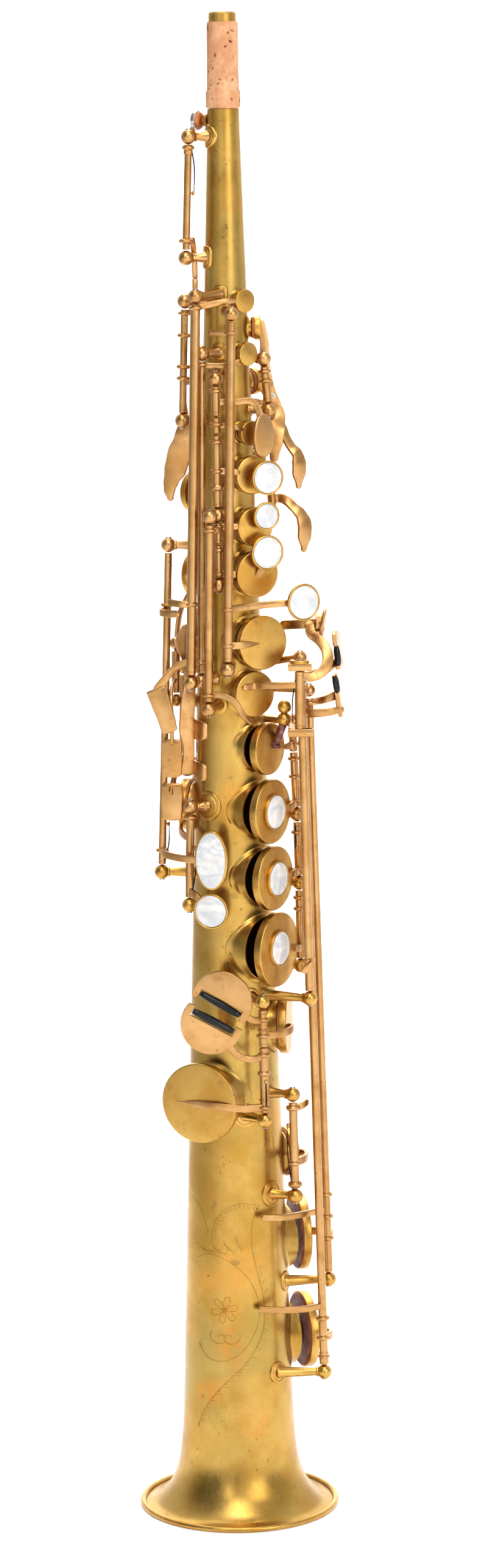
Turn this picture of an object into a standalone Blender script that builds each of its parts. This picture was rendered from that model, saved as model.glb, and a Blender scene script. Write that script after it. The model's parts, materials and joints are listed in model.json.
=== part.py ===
"""Straight one-piece soprano saxophone, standing on its bell rim. Millimetres inside, metres in the scene.

The tube axis is Z, the bell rim stands on z = 0 and the front of the instrument faces -Y.
phi is the angle round the tube in degrees: 0 at the front, 90 towards +X, 180 at the back.
Each key is drawn closed, with its pad on the tone hole, and open standing keys are then
turned about their own hinge line by the lift of the cup.
"""

from math import asin, atan2, cos, degrees, hypot, pi, radians, sin

import bmesh
import bpy
from mathutils import Matrix, Vector

MM = 0.001

# body
LENGTH = 665.0
CONE_LOW, CONE_HIGH = 45.0, 620.0
D_HIGH, CONE_SLOPE = 13.8, 0.0615
WALL = 0.7
FLARE = [(1.3, 42.0), (2.6, 38), (7, 33), (12.4, 29.5), (20, 27.0), (30, 25.6), (45, 24.58)]
SHOULDER = 624.0
TENON_R, TENON_BORE = 5.9, 4.9
CORK = [(624.3, 7.45), (631.2, 7.45), (631.6, 6.9), (659.5, 6.6), (661.0, 6.0)]
RIM_R, RIM_TUBE = 43.45, 1.3
CHIMNEY_WALL = 0.8
CHIMNEY_RISE = 1.3
VENT_RISE = 3.4

# keywork
TUBE_R = 1.85
BALL_R = 3.25
STEM_R = 1.9
PIN_R = 0.55
SOCKET_R = 0.95
SOCKET_DEPTH = 3.0
END_GAP = 0.3
PAD_GAP = 0.12
CUP_H = 4.2
ARM_W, ARM_T = 3.0, 1.6
PEARL_R, PEARL_H = 7.4, 1.7
TUBE_SIDES = 8

# tone holes: name -> (phi, z, radius of the hole, radius of the cup)
HOLES = {
    "high_f_sharp": (37, 542.3, 3.3, 5.1),
    "side_e": (41, 519.5, 3.4, 5.1),
    "palm_f": (92, 530.0, 3.5, 5.35),
    "palm_e_flat": (128, 506.0, 3.8, 5.8),
    "palm_d": (126, 472.0, 4.2, 6.2),
    "c_vent": (38, 485.6, 3.6, 5.4),
    "b": (38, 467.6, 6.2, 8.4),
    "bis": (38, 445.2, 6.4, 8.5),
    "a": (39, 424.6, 7.9, 10.1),
    "g": (41, 394.6, 9.3, 11.85),
    "g_sharp": (33, 372.0, 7.9, 10.0),
    "side_c": (-118, 422.0, 7.2, 9.5),
    "side_b_flat": (-150, 398.0, 7.4, 9.6),
    "alt_f_sharp": (-104, 320.0, 8.9, 11.4),
    "f_sharp": (48, 347.5, 9.1, 11.5),
    "f": (48, 319.8, 11.2, 14.2),
    "e": (48, 290.2, 11.4, 14.2),
    "d": (49, 258.4, 13.4, 16.5),
    "e_flat": (82, 222.1, 10.8, 13.4),
    "low_c": (-35, 191.4, 14.6, 17.8),
    "low_c_sharp": (112, 160.5, 8.6, 11.0),
    "low_b": (118, 121.5, 14.2, 17.4),
    "low_b_flat": (118, 76.0, 14.0, 17.2),
    "octave_low": (176, 497.0, 1.3, 3.6),
    "octave_high": (-115, 618.8, 1.0, 4.3),
}


def body_r(z):
    if z < CONE_LOW:
        for (z0, r0), (z1, r1) in zip(FLARE, FLARE[1:]):
            if z <= z1:
                return r0 + (r1 - r0) * (z - z0) / (z1 - z0)
    return (D_HIGH + CONE_SLOPE * max(0.0, CONE_HIGH - z)) / 2


def seat(name):
    return body_r(HOLES[name][1]) + (VENT_RISE if name == "octave_high" else CHIMNEY_RISE)


def pol(phi, rho, z):
    a = radians(phi)
    return Vector((rho * sin(a), -rho * cos(a), z))


def out(phi):
    return pol(phi, 1.0, 0.0)


def perp(axis):
    ref = Vector((0, 0, 1)) if abs(axis.z) < 0.9 else Vector((1, 0, 0))
    u = axis.cross(ref).normalized()
    return u, axis.cross(u).normalized()


def lathe(origin, axis, profile, sides):
    """Closed solid of revolution: profile is (radius, height) pairs that start and end on the axis."""
    axis = axis.normalized()
    u, v = perp(axis)
    bm = bmesh.new()
    rings = []
    for r, h in profile:
        at = origin + axis * h
        if r < 1e-6:
            rings.append([bm.verts.new(at)])
        else:
            rings.append([bm.verts.new(at + (u * cos(2 * pi * k / sides) + v * sin(2 * pi * k / sides)) * r)
                          for k in range(sides)])
    for a, b in zip(rings, rings[1:]):
        for k in range(sides):
            j = (k + 1) % sides
            corners = [a[k % len(a)], a[j % len(a)], b[j % len(b)], b[k % len(b)]]
            face = list(dict.fromkeys(corners))
            if len(face) > 2:
                bm.faces.new(face)
    bmesh.ops.recalc_face_normals(bm, faces=bm.faces)
    return bm


def ring_solid(origin, axis, section, sides):
    """Closed ring: section is a closed loop of (radius, height) pairs off the axis."""
    axis = axis.normalized()
    u, v = perp(axis)
    bm = bmesh.new()
    loops = [[bm.verts.new(origin + axis * h + (u * cos(a) + v * sin(a)) * r) for r, h in section]
             for a in (2 * pi * k / sides for k in range(sides))]
    for a, b in zip(loops, loops[1:] + loops[:1]):
        for k in range(len(section)):
            j = (k + 1) % len(section)
            bm.faces.new((a[k], a[j], b[j], b[k]))
    bmesh.ops.recalc_face_normals(bm, faces=bm.faces)
    return bm


def rod(p, q, r, sides=TUBE_SIDES):
    return lathe(p, q - p, [(0, 0), (r, 0), (r, (q - p).length), (0, (q - p).length)], sides)


def ball(c, r, sides=7):
    return lathe(c, Vector((0, 0, 1)), [(0, -r), (r * 0.92, -r * 0.45), (r * 0.92, r * 0.45), (0, r)],
                 sides)


def bar(points, width, thick, up=Vector((0, 0, 1)), face=None):
    """Rectangular bar swept along points: width along up and thick across it, or thick along face."""
    bm = bmesh.new()
    rings = []
    n = len(points)
    for i, p in enumerate(points):
        d = (points[min(i + 1, n - 1)] - points[max(i - 1, 0)]).normalized()
        side = d.cross(up) if face is None else face - d * face.dot(d)
        side.normalize()
        top = side.cross(d).normalized()
        w = (width[i] if isinstance(width, (list, tuple)) else width) / 2
        t = thick / 2
        corners = ((-t, -w), (t, -w), (t, w), (-t, w))
        rings.append([bm.verts.new(p + side * x + top * y) for x, y in corners])
    for a, b in zip(rings, rings[1:]):
        for k in range(4):
            j = (k + 1) % 4
            bm.faces.new((a[k], a[j], b[j], b[k]))
    bm.faces.new(rings[0])
    bm.faces.new(rings[-1])
    bmesh.ops.recalc_face_normals(bm, faces=bm.faces)
    return bm


def plate(center, normal, outline, thick):
    """Flat plate: outline is (right, up) pairs in the plane, centred thickness along normal."""
    n = normal.normalized()
    up = (Vector((0, 0, 1)) - n * n.z).normalized()
    right = up.cross(n)
    bm = bmesh.new()
    lo = [bm.verts.new(center + right * x + up * y - n * thick / 2) for x, y in outline]
    hi = [bm.verts.new(center + right * x + up * y + n * thick / 2) for x, y in outline]
    bm.faces.new(lo)
    bm.faces.new(hi)
    for k in range(len(lo)):
        j = (k + 1) % len(lo)
        bm.faces.new((lo[k], lo[j], hi[j], hi[k]))
    bmesh.ops.recalc_face_normals(bm, faces=bm.faces)
    return bm


def oval(rx, ry, n=16):
    return [(rx * cos(2 * pi * k / n), ry * sin(2 * pi * k / n)) for k in range(n)]


def material(name, color, rough, metal):
    m = bpy.data.materials.new(name)
    m.use_nodes = True
    b = m.node_tree.nodes["Principled BSDF"]
    b.inputs["Base Color"].default_value = (*color, 1)
    b.inputs["Roughness"].default_value = rough
    b.inputs["Metallic"].default_value = metal
    return m


FINISH = {
    "brass": ((0.50, 0.33, 0.10), 0.32, 1.0),
    "rose_brass": ((0.60, 0.33, 0.14), 0.35, 1.0),
    "pearl": ((0.85, 0.85, 0.83), 0.25, 0.0),
    "black": ((0.02, 0.02, 0.02), 0.25, 0.0),
    "cork": ((0.60, 0.40, 0.27), 0.85, 0.0),
}


def mesh_of(name, bm):
    bmesh.ops.scale(bm, vec=(MM, MM, MM), verts=bm.verts)
    me = bpy.data.meshes.new(name)
    bm.to_mesh(me)
    bm.free()
    return me


def build(name, finish, solids, cuts=(), place=None):
    """One node: the solids joined and the cuts taken away, by Booleans on collections."""
    base = bpy.data.objects.new(name, mesh_of(name, solids[0]))
    bpy.context.scene.collection.objects.link(base)
    base.data.materials.append(material(name + "_" + finish, *FINISH[finish]))
    for kind, group in (("UNION", solids[1:]), ("DIFFERENCE", cuts)):
        if not group:
            continue
        col = bpy.data.collections.new(f"{name}_{kind.lower()}")
        bpy.context.scene.collection.children.link(col)
        for i, bm in enumerate(group):
            tool = bpy.data.objects.new(f"{name}_{kind.lower()}_{i}", mesh_of("tool", bm))
            tool.hide_render = True
            tool.display_type = "WIRE"
            tool.matrix_world = place or Matrix()
            col.objects.link(tool)
        mod = base.modifiers.new(kind.title(), "BOOLEAN")
        mod.operation = kind
        mod.operand_type = "COLLECTION"
        mod.collection = col
        mod.solver = "EXACT"
    if place is not None:
        base.matrix_world = place
    return base


POSTS, PINS, PLACED = [], [], set()


def post(p, foot_phi=None, foot_z=None, r=BALL_R, disc=0.0, stem=STEM_R):
    """A post on the body with its ball head at p. Keys that share a ball call for it once each."""
    phi = degrees(atan2(p.x, -p.y)) if foot_phi is None else foot_phi
    z = p.z if foot_z is None else foot_z
    foot = pol(phi, body_r(z) - 0.35, z)
    spot = tuple(round(c, 1) for c in p)
    if spot in PLACED:
        return
    PLACED.add(spot)
    POSTS.append(rod(foot, p, stem, 6))
    POSTS.append(ball(p, r))
    if disc:
        way = (p - foot).normalized()
        POSTS.append(rod(foot - way * 0.6, foot + way * 1.1, disc, 8))


def block_head(p, left, right, depth=3.8, height=3.5):
    """A post head sawn from flat bar, from left to right of the hinge at p."""
    POSTS.append(bar([p - Vector((left, 0, 0)), p + Vector((right, 0, 0))], height, depth))


class Key:
    """A key on the hinge line from p0 (top) to p1 (bottom), both at ball centres or tube ends."""

    def __init__(self, name, p0, p1, posts=(True, True), radius=TUBE_R):
        self.name = name
        self.p0, self.p1 = Vector(p0), Vector(p1)
        self.axis = (self.p1 - self.p0).normalized()
        self.solids, self.cuts, self.extra = [], [], []
        self.seat_at = None
        top = BALL_R + END_GAP if posts[0] else END_GAP
        low = BALL_R + END_GAP if posts[1] else END_GAP
        self.a = self.p0 + self.axis * top
        self.b = self.p1 - self.axis * low
        self.solids.append(rod(self.a, self.b, radius))
        for used, ball_at, end, way in ((posts[0], self.p0, self.a, self.axis),
                                        (posts[1], self.p1, self.b, -self.axis)):
            if used:
                self.cuts.append(rod(end - way * 0.2, end + way * SOCKET_DEPTH, SOCKET_R, 6))
                PINS.append(rod(ball_at, end + way * (SOCKET_DEPTH - 0.5), PIN_R, 4))

    def at(self, z):
        t = (z - self.p0.z) / (self.p1.z - self.p0.z)
        return self.p0 + (self.p1 - self.p0) * t

    def collar(self, z, r=2.9, h=1.9):
        c = self.at(z)
        self.solids.append(rod(c - self.axis * h / 2, c + self.axis * h / 2, r, 6))

    def cup(self, hole, h=CUP_H):
        phi, z, _, r = HOLES[hole]
        s = seat(hole) + PAD_GAP
        n = out(phi)
        self.seat_at = (pol(phi, s, z), n)
        profile = [(0, 0), (r, 0), (r, h - 1.0), (0, h + 0.3)]
        self.solids.append(lathe(pol(phi, s, z), n, profile, 10 if r < 7 else 14))
        return pol(phi, s + h, z)

    def arm(self, points, width=ARM_W, thick=ARM_T, up=Vector((0, 0, 1)), face=None):
        self.solids.append(bar([Vector(p) for p in points], width, thick, up, face))

    def shut(self, mm, p):
        """Where a point of the key that stands with its cup lifted by mm lies once the cup is closed."""
        return self.p0 + Matrix.Rotation(-self.lift(mm), 3, self.axis) @ (Vector(p) - self.p0)

    def standing_arm(self, mm, points, width, thick):
        """An arm whose points are given as it stands with the cup lifted by mm."""
        self.arm([self.shut(mm, p) for p in points], width, thick)

    def pearl(self, center, normal, r=PEARL_R, ratio=1.0):
        """A round or oval holder, and the pearl as a piece of its own that lies on it."""
        n = normal.normalized()
        if ratio == 1.0:
            hold = rod(center, center + n, r + 0.8, 12)
            gem = lathe(center + n * 1.06, n, [(0, 0), (r, 0), (r, 0.9), (0, PEARL_H)], 12)
            self.solids.append(hold)
        else:
            self.solids.append(plate(center + n * 0.9, n, oval(r * ratio + 0.8, r + 0.8), 1.8))
            gem = plate(center + n * 2.4, n, oval(r * ratio, r), 1.1)
        self.extra.append((self.name + "_pearl", "pearl", gem))

    def lift(self, mm):
        """Opening angle for a lift of the cup of mm, positive by the right hand rule about +axis."""
        c, n = self.seat_at
        foot = self.p0 + self.axis * (c - self.p0).dot(self.axis)
        arm = c - foot
        speed = self.axis.cross(arm).dot(n)
        return mm / speed

    def finish_key(self, mm, stands_open):
        """Place the key at rest and note its joint. mm is the lift of the cup."""
        turn = self.lift(mm)
        rest = turn if stands_open else 0.0
        place = Matrix.Translation(self.p0 * MM) @ Matrix.Rotation(rest, 4, self.axis) \
            @ Matrix.Translation(-self.p0 * MM)
        origin = Matrix.Translation(self.p0 * MM)
        names = [(self.name, "rose_brass", self.solids, self.cuts)]
        names += [(node, finish, [solid], []) for node, finish, solid in self.extra]
        for n, f, solids, cuts in names:
            for bm in solids + cuts:
                bmesh.ops.translate(bm, vec=-self.p0, verts=bm.verts)
            ob = build(n, f, solids, cuts, place=place @ origin)
            ob["hinge_from"] = [c * MM for c in self.p0]
            ob["hinge_axis"] = list(self.axis)
            ob["closing_deg" if stands_open else "opening_deg"] = degrees(-turn if stands_open else turn)
            ob["moves_with"] = self.name


def main():
    for ob in list(bpy.data.objects):
        bpy.data.objects.remove(ob)
    keys()
    body()
    fixed_pieces()


def keys():
    octave_keys()
    palm_keys()
    upper_stack()
    long_front_rods()
    side_keys()
    lower_stack()
    right_little_finger()
    left_little_finger()


def octave_keys():
    o1, o2 = Vector((-15.0, -5.5, 612.4)), Vector((-16.8, -6.1, 560.7))
    o3, o4 = Vector((-17.5, -6.3, 542.2)), Vector((-19.2, -7.0, 490.7))
    post(o1, disc=5.2)
    post(o2, disc=4.6)
    post(o3)
    post(o4)
    k = Key("octave_upper_key", o1, o2, radius=1.6)
    k.collar(607.8, 2.7)
    k.collar(568.0)
    c = k.cup("octave_high", 3.4)
    k.arm([k.at(606.5), pol(-92, 16.4, 607), pol(-112, 15.4, 612), c + out(-115) * -0.8], 2.6, 1.5)
    k.arm([k.at(568.0), Vector((-13.8, -3.6, 567.8))], 2.6, 1.5)
    k.arm([Vector((-14.0, -3.4, 568.4)), Vector((-13.4, -1.0, 563.0)), Vector((-13.0, 0.2, 552.2))], 2.4, 1.4,
          face=Vector((0.3, -0.95, 0)))
    k.finish_key(1.6, False)

    k = Key("octave_thumb_lever", o3, o4, radius=1.6)
    for z in (527.5, 514.0, 509.0):
        k.collar(z)
    k.arm([k.at(537.0), Vector((-13.9, -2.6, 537.2))], 2.6, 1.5)
    k.arm([Vector((-14.1, -2.6, 536.4)), Vector((-13.4, -0.4, 541.0)), Vector((-13.0, 0.4, 550.6))], 2.4, 1.4,
          face=Vector((0.3, -0.95, 0)))
    lever = [k.at(500.0), Vector((-18.6, -2.2, 491.0)), Vector((-19.2, -1.8, 483.0)),
             Vector((-20.8, -1.0, 476.0)),
             Vector((-22.6, 0.2, 469.0)), Vector((-24.6, 1.6, 463.5)), Vector((-25.3, 2.6, 459.5)),
             Vector((-25.0, 3.2, 456.0))]
    k.arm(lever, [3.0, 4.0, 7.5, 10.4, 10.0, 6.8, 5.2, 3.0], 1.6, face=Vector((-0.25, -0.97, 0)))
    k.seat_at = (pol(-106, 25.6, 468), -out(-106))
    k.finish_key(2.6, False)

    a, b = pol(-150, 18.5, 512.0), pol(-150, 19.5, 484.0)
    post(a)
    post(b)
    k = Key("octave_lower_key", a, b)
    c = k.cup("octave_low", 3.2)
    k.arm([k.at(497.0), pol(-165, 16.6, 497), c - out(176) * 0.8], 2.6, 1.5)
    k.arm([k.at(506.0), pol(-128, 18.2, 506), pol(-112, 19.4, 506)], 2.6, 1.5)
    k.finish_key(1.6, False)


def palm_keys():
    a, b = Vector((16.2, -5.0, 517.0)), Vector((18.0, -5.0, 494.8))
    post(a)
    post(b, stem=1.6)
    k = Key("palm_f_key", a, b)
    c = k.cup("palm_f", 3.8)
    k.collar(511.5)
    k.collar(507.5)
    k.arm([k.at(506.0), Vector((19.0, -2.4, 506.0))], 3.0, 1.6)
    strap = [c + Vector((0.3, -0.4, 1.5)), Vector((16.5, -0.2, 524.0)), Vector((16.6, -0.6, 516.5)),
             Vector((17.8, -1.8, 508.0)), Vector((19.4, -1.0, 501.5)), Vector((21.6, -0.6, 496.0)),
             Vector((22.6, -2.0, 491.5)), Vector((21.6, -4.4, 487.0)), Vector((20.9, -5.6, 481.0)),
             Vector((20.3, -6.0, 474.0))]
    k.arm(strap, [3.6, 3.8, 4.4, 4.2, 4.2, 4.4, 5.5, 7.2, 6.6, 4.0], 1.5, face=Vector((0.1, -1, 0)))
    k.finish_key(1.6, False)

    for name, phi, z0, z1, hook in (
        ("palm_e_flat", 128, 497.0, 482.0, [(23.4, 5.0, 486.8), (25.6, 3.6, 481.5), (28.0, 2.0, 477.6),
                                            (30.4, 0.6, 474.8),
                                            (31.1, 0.0, 471.0), (31.1, 0.3, 466.9), (30.9, 1.0, 460.8)]),
        ("palm_d", 126, 462.0, 447.0, [(22.0, 5.5, 455.1), (25.7, 3.5, 454.0), (28.7, 2.0, 451.3),
                                       (31.5, 1.0, 448.6),
                                       (33.2, 0.4, 444.6), (33.2, 0.2, 439.0), (32.9, 0.8, 433.0)]),
    ):
        a, b = pol(105, 19.3, z0), pol(104, 20.2, z1)
        post(a, r=2.7, stem=1.6)
        post(b, r=2.7, stem=1.6)
        k = Key(name + "_key", a, b)
        c = k.cup(name, 3.8)
        k.arm([k.at(z0 - 6.5), pol(116, 21.6, z0 - 4), pol(124, 20.6, z0 + 3), c - out(phi) * 0.6], 2.6,
              1.5)
        k.arm([k.at(z0 - 8.0)] + hook, [3.0, 4.0, 4.2, 4.2, 5.2, 6.8, 6.8, 2.6], 1.6,
              face=Vector((0.55, -0.83, 0)))
        k.finish_key(1.6, False)


def upper_stack():
    top, mid, low = Vector((-4.7, -19.0, 509.9)), Vector((-4.4, -20.1, 451.0)), Vector((-4.2, -20.8, 420.5))
    for p in (top, mid, low):
        post(p)
    front = out(38)

    def line(z):
        return top + (low - top) * ((z - top.z) / (low.z - top.z))

    k = Key("front_f_key", top, line(493.6), (True, False))
    k.collar(504.6)
    touch = Vector((15.4, -19.5, 485.0))
    k.arm([k.at(499.6), Vector((3, -18.2, 499.6)), Vector((11.6, -17.4, 499.2)),
           Vector((14.2, -18.2, 494.0)),
           Vector((15.0, -18.8, 486.0))], 3.0, 1.6)
    k.solids.append(plate(touch, front, oval(5.6, 9.7, 14), 2.0))
    k.seat_at = (touch, -front)
    k.finish_key(2.5, False)

    k = Key("c_vent_key", line(493.2), line(486.0), (False, False))
    c = k.cup("c_vent", 3.8)
    k.collar(490.2)
    k.arm([k.at(489.8), Vector((2.5, -17.6, 489.0)), c - front * 0.6], 2.6, 1.5)
    k.finish_key(2.2, True)

    k = Key("b_key", line(485.6), mid, (False, True))
    c = k.cup("b")
    k.collar(482.6)
    k.collar(463.0)
    hold = pol(44.5, 23.9, 467.0)
    k.arm([k.at(470.0), Vector((1.5, -19.0, 469.8)), c - front * 0.5, hold + front * 0.4], 3.2, 1.6)
    k.pearl(hold, front, 6.6)
    k.finish_key(3.0, True)

    k = Key("bis_key", mid, line(438.6), (True, False))
    c = k.cup("bis")
    k.arm([k.at(446.0), Vector((1.5, -19.4, 446.0)), c - front * 0.5, pol(44, 21.8, 448.5)], 3.2, 1.6)
    k.pearl(pol(45, 22.4, 450.2), front, 5.3)
    k.finish_key(3.0, True)

    k = Key("a_key", line(438.2), low, (False, True))
    c = k.cup("a")
    k.collar(436.0)
    k.arm([k.at(425.0) + Vector((0, 0, 0.6)), Vector((2.0, -19.2, 425.2)), c - front * 0.5], 3.2, 1.6)
    k.arm([c - front * 0.3 + Vector((0, 0, -1)), pol(43, 21.4, 429.0), pol(45, 22.8, 434.4)], 1.6, 3.6,
          front)
    k.pearl(pol(45, 22.6, 434.4), front, 6.8)
    k.finish_key(3.2, True)

    d0, d1 = Vector((-7.9, -26.4, 451.0)), Vector((-9.4, -26.4, 367.1))
    POSTS.append(rod(mid, d0, 1.5, 8))
    POSTS.append(ball(d0, BALL_R))
    post(d1, disc=4.2)
    k = Key("bis_bridge_key", d0, d1)
    k.collar(445.2)
    k.collar(373.4)
    k.arm([k.at(445.2), k.at(445.2) + Vector((2.4, 0.6, 0)), k.at(445.2) + Vector((4.6, 2.4, -0.4))], 2.4,
          1.3)
    k.arm([k.at(373.4), Vector((-4.0, -27.6, 373.4)), Vector((1.8, -29.4, 371.0)),
           Vector((5.6, -28.2, 364.5)),
           Vector((8.8, -24.2, 361.0))], 2.6, 1.5)
    k.seat_at = (Vector((8.8, -24.2, 361.0)), -out(12))
    k.finish_key(2.0, False)


def long_front_rods():
    a, b = Vector((-12.8, -18.4, 545.0)), Vector((-16.9, -23.5, 378.4))
    post(a, foot_phi=-14)
    post(b, foot_phi=-30)
    k = Key("high_f_sharp_key", a, b, radius=2.15)
    c = k.cup("high_f_sharp", 3.6)
    k.collar(540.2)
    k.arm([k.at(540.2), Vector((-8.5, -17.6, 541.0)), Vector((0.0, -16.0, 542.6)), c - out(37) * 0.6], 2.6,
          1.5)
    k.collar(412.6)
    k.arm([k.at(412.6), Vector((-20.0, -23.5, 412.8)), Vector((-25.2, -19.0, 413.0))], 3.0, 1.6)
    k.finish_key(2.4, False)

    a, b = Vector((-10.6, -14.0, 520.3)), Vector((-12.4, -18.2, 378.3))
    post(a, foot_phi=-18, disc=4.2)
    post(b, foot_phi=-26)
    k = Key("side_e_key", a, b)
    c = k.cup("side_e", 3.6)
    k.collar(515.4)
    k.arm([k.at(515.4), Vector((-6.0, -15.0, 515.0)), Vector((1.0, -14.6, 515.2)), c - out(41) * 0.6], 2.6,
          1.5)
    k.collar(386.5, 2.7)
    k.arm([k.at(386.5), Vector((-16.0, -13.6, 386.4)), Vector((-22.0, -12.8, 384.6)),
           Vector((-28.0, -13.6, 379.0)), Vector((-31.4, -14.0, 374.4))], [3, 3, 3.2, 3.4, 4.0], 1.5)
    k.arm([Vector((-32.2, -14.0, 374.2)), Vector((-30.2, -14.6, 368.0)), Vector((-27.8, -15.0, 361.0)),
           Vector((-26.6, -15.2, 355.2))], [8.8, 8.2, 7.6, 7.0], 2.0, face=Vector((-0.1, -1, 0)))
    k.finish_key(2.4, False)

    a, b = Vector((2.4, -21.0, 537.6)), Vector((-0.9, -26.5, 384.4))
    post(a)
    post(b)
    k = Key("g_key", a, b, radius=2.05)
    k.collar(529.5)
    k.arm([k.at(529.5), k.at(529.5) + Vector((-5.0, 0.6, 0)), k.at(529.5) + Vector((-9.4, 2.0, 0))], 2.6,
          1.5)
    c = k.cup("g")
    k.collar(394.8)
    k.collar(410.6)
    k.arm([k.at(394.8), Vector((4.0, -24.4, 394.8)), c - out(41) * 0.5], 3.2, 1.6)
    k.arm([k.at(410.6), Vector((6.0, -26.6, 411.6)), Vector((18.0, -25.6, 413.0)),
           Vector((29.6, -21.2, 413.3))],
          3.2, 1.6)
    k.pearl(Vector((31.4, -20.4, 413.4)), out(42), 7.2)
    k.finish_key(3.4, True)

    a, b = Vector((-26.0, -4.0, 436.3)), Vector((-30.9, -6.0, 291.7))
    post(a, foot_phi=-62, disc=4.0)
    post(b, foot_phi=-66)
    k = Key("high_f_sharp_lever", a, b, radius=1.65)
    k.collar(410.0)
    k.collar(301.4)
    k.arm([k.at(407.6), Vector((-29.5, -10.5, 407.6)), Vector((-25.8, -15.8, 407.6)),
           Vector((-22.6, -17.6, 407.8))],
          3.2, 1.6)
    k.arm([k.at(301.2), Vector((-29.6, -12.6, 301.0)), Vector((-22.0, -19.6, 300.2)),
           Vector((-11.6, -23.9, 300.2)), Vector((-7.6, -25.2, 300.4))],
          3.2, 1.6)
    k.pearl(Vector((-8.6, -25.2, 300.4)), out(-18), 12.3, 0.54)
    k.seat_at = (Vector((-9.0, -24.0, 300.4)), -out(-18))
    k.finish_key(3.4, False)


def side_keys():
    a, b = Vector((-23.5, 2.0, 392.1)), Vector((-23.8, 2.0, 366.8))
    post(a, r=2.8)
    post(b, r=2.8)
    k = Key("side_c_key", a, b)
    c = k.cup("side_c")
    k.arm([k.at(382.0), Vector((-23.4, 7.0, 384)), Vector((-21.6, 9.4, 404)),
           c - out(-118) * 0.6 - Vector((0, 0, 4))],
          3.0, 1.6, Vector((0.45, 0.88, 0)))
    k.arm([k.at(376.0), Vector((-25.4, -4.0, 373)), Vector((-25.6, -9.4, 362)),
           Vector((-25.6, -9.9, 350.5))],
          [3, 3, 3.2, 4], 1.6, Vector((0.1, 1, 0)))
    k.arm([Vector((-25.9, -9.8, 351.4)), Vector((-25.9, -10.2, 342.6)), Vector((-26.0, -10.4, 335.0))],
          [9.0, 9.4, 8.8], 2.2, face=Vector((-0.12, -1, 0)))
    k.finish_key(2.8, False)

    a, b = Vector((-20.4, 12.0, 380.0)), Vector((-20.9, 12.4, 338.0))
    post(a, r=2.8)
    post(b, r=2.8)
    k = Key("side_b_flat_key", a, b)
    c = k.cup("side_b_flat")
    k.arm([k.at(373.0), Vector((-17.6, 16.4, 378)), Vector((-12.6, 19.4, 390)), c - out(-150) * 0.6],
          3.0, 1.6, Vector((0.87, 0.5, 0)))
    k.arm([k.at(348.0) + Vector((0.3, 0.2, 0)), Vector((-23.8, 5.6, 343)), Vector((-24.0, -2.0, 337)),
           Vector((-25.2, -6.6, 332.6)),
           Vector((-26.0, -9.4, 328.4))], [3, 3, 3, 3, 3.6], 1.6, Vector((0, 0.3, 1)))
    k.arm([Vector((-26.0, -8.8, 331.8)), Vector((-26.0, -9.2, 323.8)), Vector((-26.1, -9.4, 315.6))],
          [8.8, 9.6, 8.8], 2.2, face=Vector((-0.12, -1, 0)))
    k.finish_key(1.5, False)

    a, b = Vector((-17.9, -14.0, 322.1)), Vector((-18.9, -16.0, 278.7))
    post(a, foot_phi=-40, disc=6.6)
    post(b, foot_phi=-42)
    k = Key("alt_f_sharp_key", a, b)
    c = k.cup("alt_f_sharp")
    k.collar(317.4)
    k.arm([k.at(308.0), Vector((-21.0, -8.4, 308.4)), Vector((-22.6, -2.4, 310.0)),
           c + out(-104) * -0.6 - Vector((0, 0, 6))],
          3.0, 1.6)
    k.arm([k.at(285.0), Vector((-16.4, -21.2, 284.0)), Vector((-11.6, -23.4, 279.6))], 3.2, 1.6)
    k.pearl(Vector((-9.2, -24.3, 277.6)), out(-18), 7.0)
    k.finish_key(2.0, False)


def lower_stack():
    r0, r1 = Vector((27.0, -2.0, 357.6)), Vector((28.8, -1.6, 316.0))
    r2, r3 = Vector((29.5, -1.5, 285.3)), Vector((29.9, -1.5, 247.8))
    for p in (r0, r1, r2, r3):
        post(p, foot_phi=108, stem=1.5)
    cut = r0 + (r1 - r0) * ((344.0 - r0.z) / (r1.z - r0.z))

    def face(hole):
        """Middle of the cup's outer face when it is closed."""
        return pol(HOLES[hole][0], seat(hole) + PAD_GAP + CUP_H, HOLES[hole][1])

    def stack_arm(k, hole, z, reach=7.8):
        """The arm that sweeps forward from the hinge and over the cup to the pearl's holder."""
        c = face(hole)
        n, t = out(HOLES[hole][0]), out(HOLES[hole][0] + 90)
        k.arm([k.at(z), c + t * 12 + n * 2.3 + Vector((0, 0, (z - c.z) * 0.6)), c + t * reach + n * 0.7],
              3.2, 1.6)

    k = Key("f_sharp_key", r0, cut, (True, False))
    k.cup("f_sharp")
    stack_arm(k, "f_sharp", 347.6, 1.0)
    k.solids.append(rod(pol(56, 21.4, 348.5), pol(56, 26.0, 359.6), 1.8, 8))
    k.solids.append(ball(pol(56, 26.0, 360.6), 3.0))
    k.solids.append(ball(pol(56, 26.2, 366.0), 3.0))
    k.finish_key(2.4, True)

    k = Key("f_key", cut, r1, (False, True))
    k.cup("f")
    k.collar(341.0)
    k.collar(333.0)
    stack_arm(k, "f", 321.8)
    k.pearl(face("f") + out(48) * 0.2, out(48), 7.3)
    k.finish_key(2.8, True)

    k = Key("e_key", r1, r2)
    k.cup("e")
    k.collar(308.0)
    stack_arm(k, "e", 291.2)
    k.pearl(face("e") + out(48) * 0.2, out(48), 7.3)
    k.finish_key(3.0, True)

    k = Key("d_key", r2, r3)
    k.cup("d")
    k.collar(278.6)
    k.collar(273.6)
    stack_arm(k, "d", 256.0, 6.4)
    k.pearl(pol(46, seat("d") + PAD_GAP + CUP_H + 0.2, 259.4), out(49), 7.3)
    k.finish_key(3.2, True)


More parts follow.
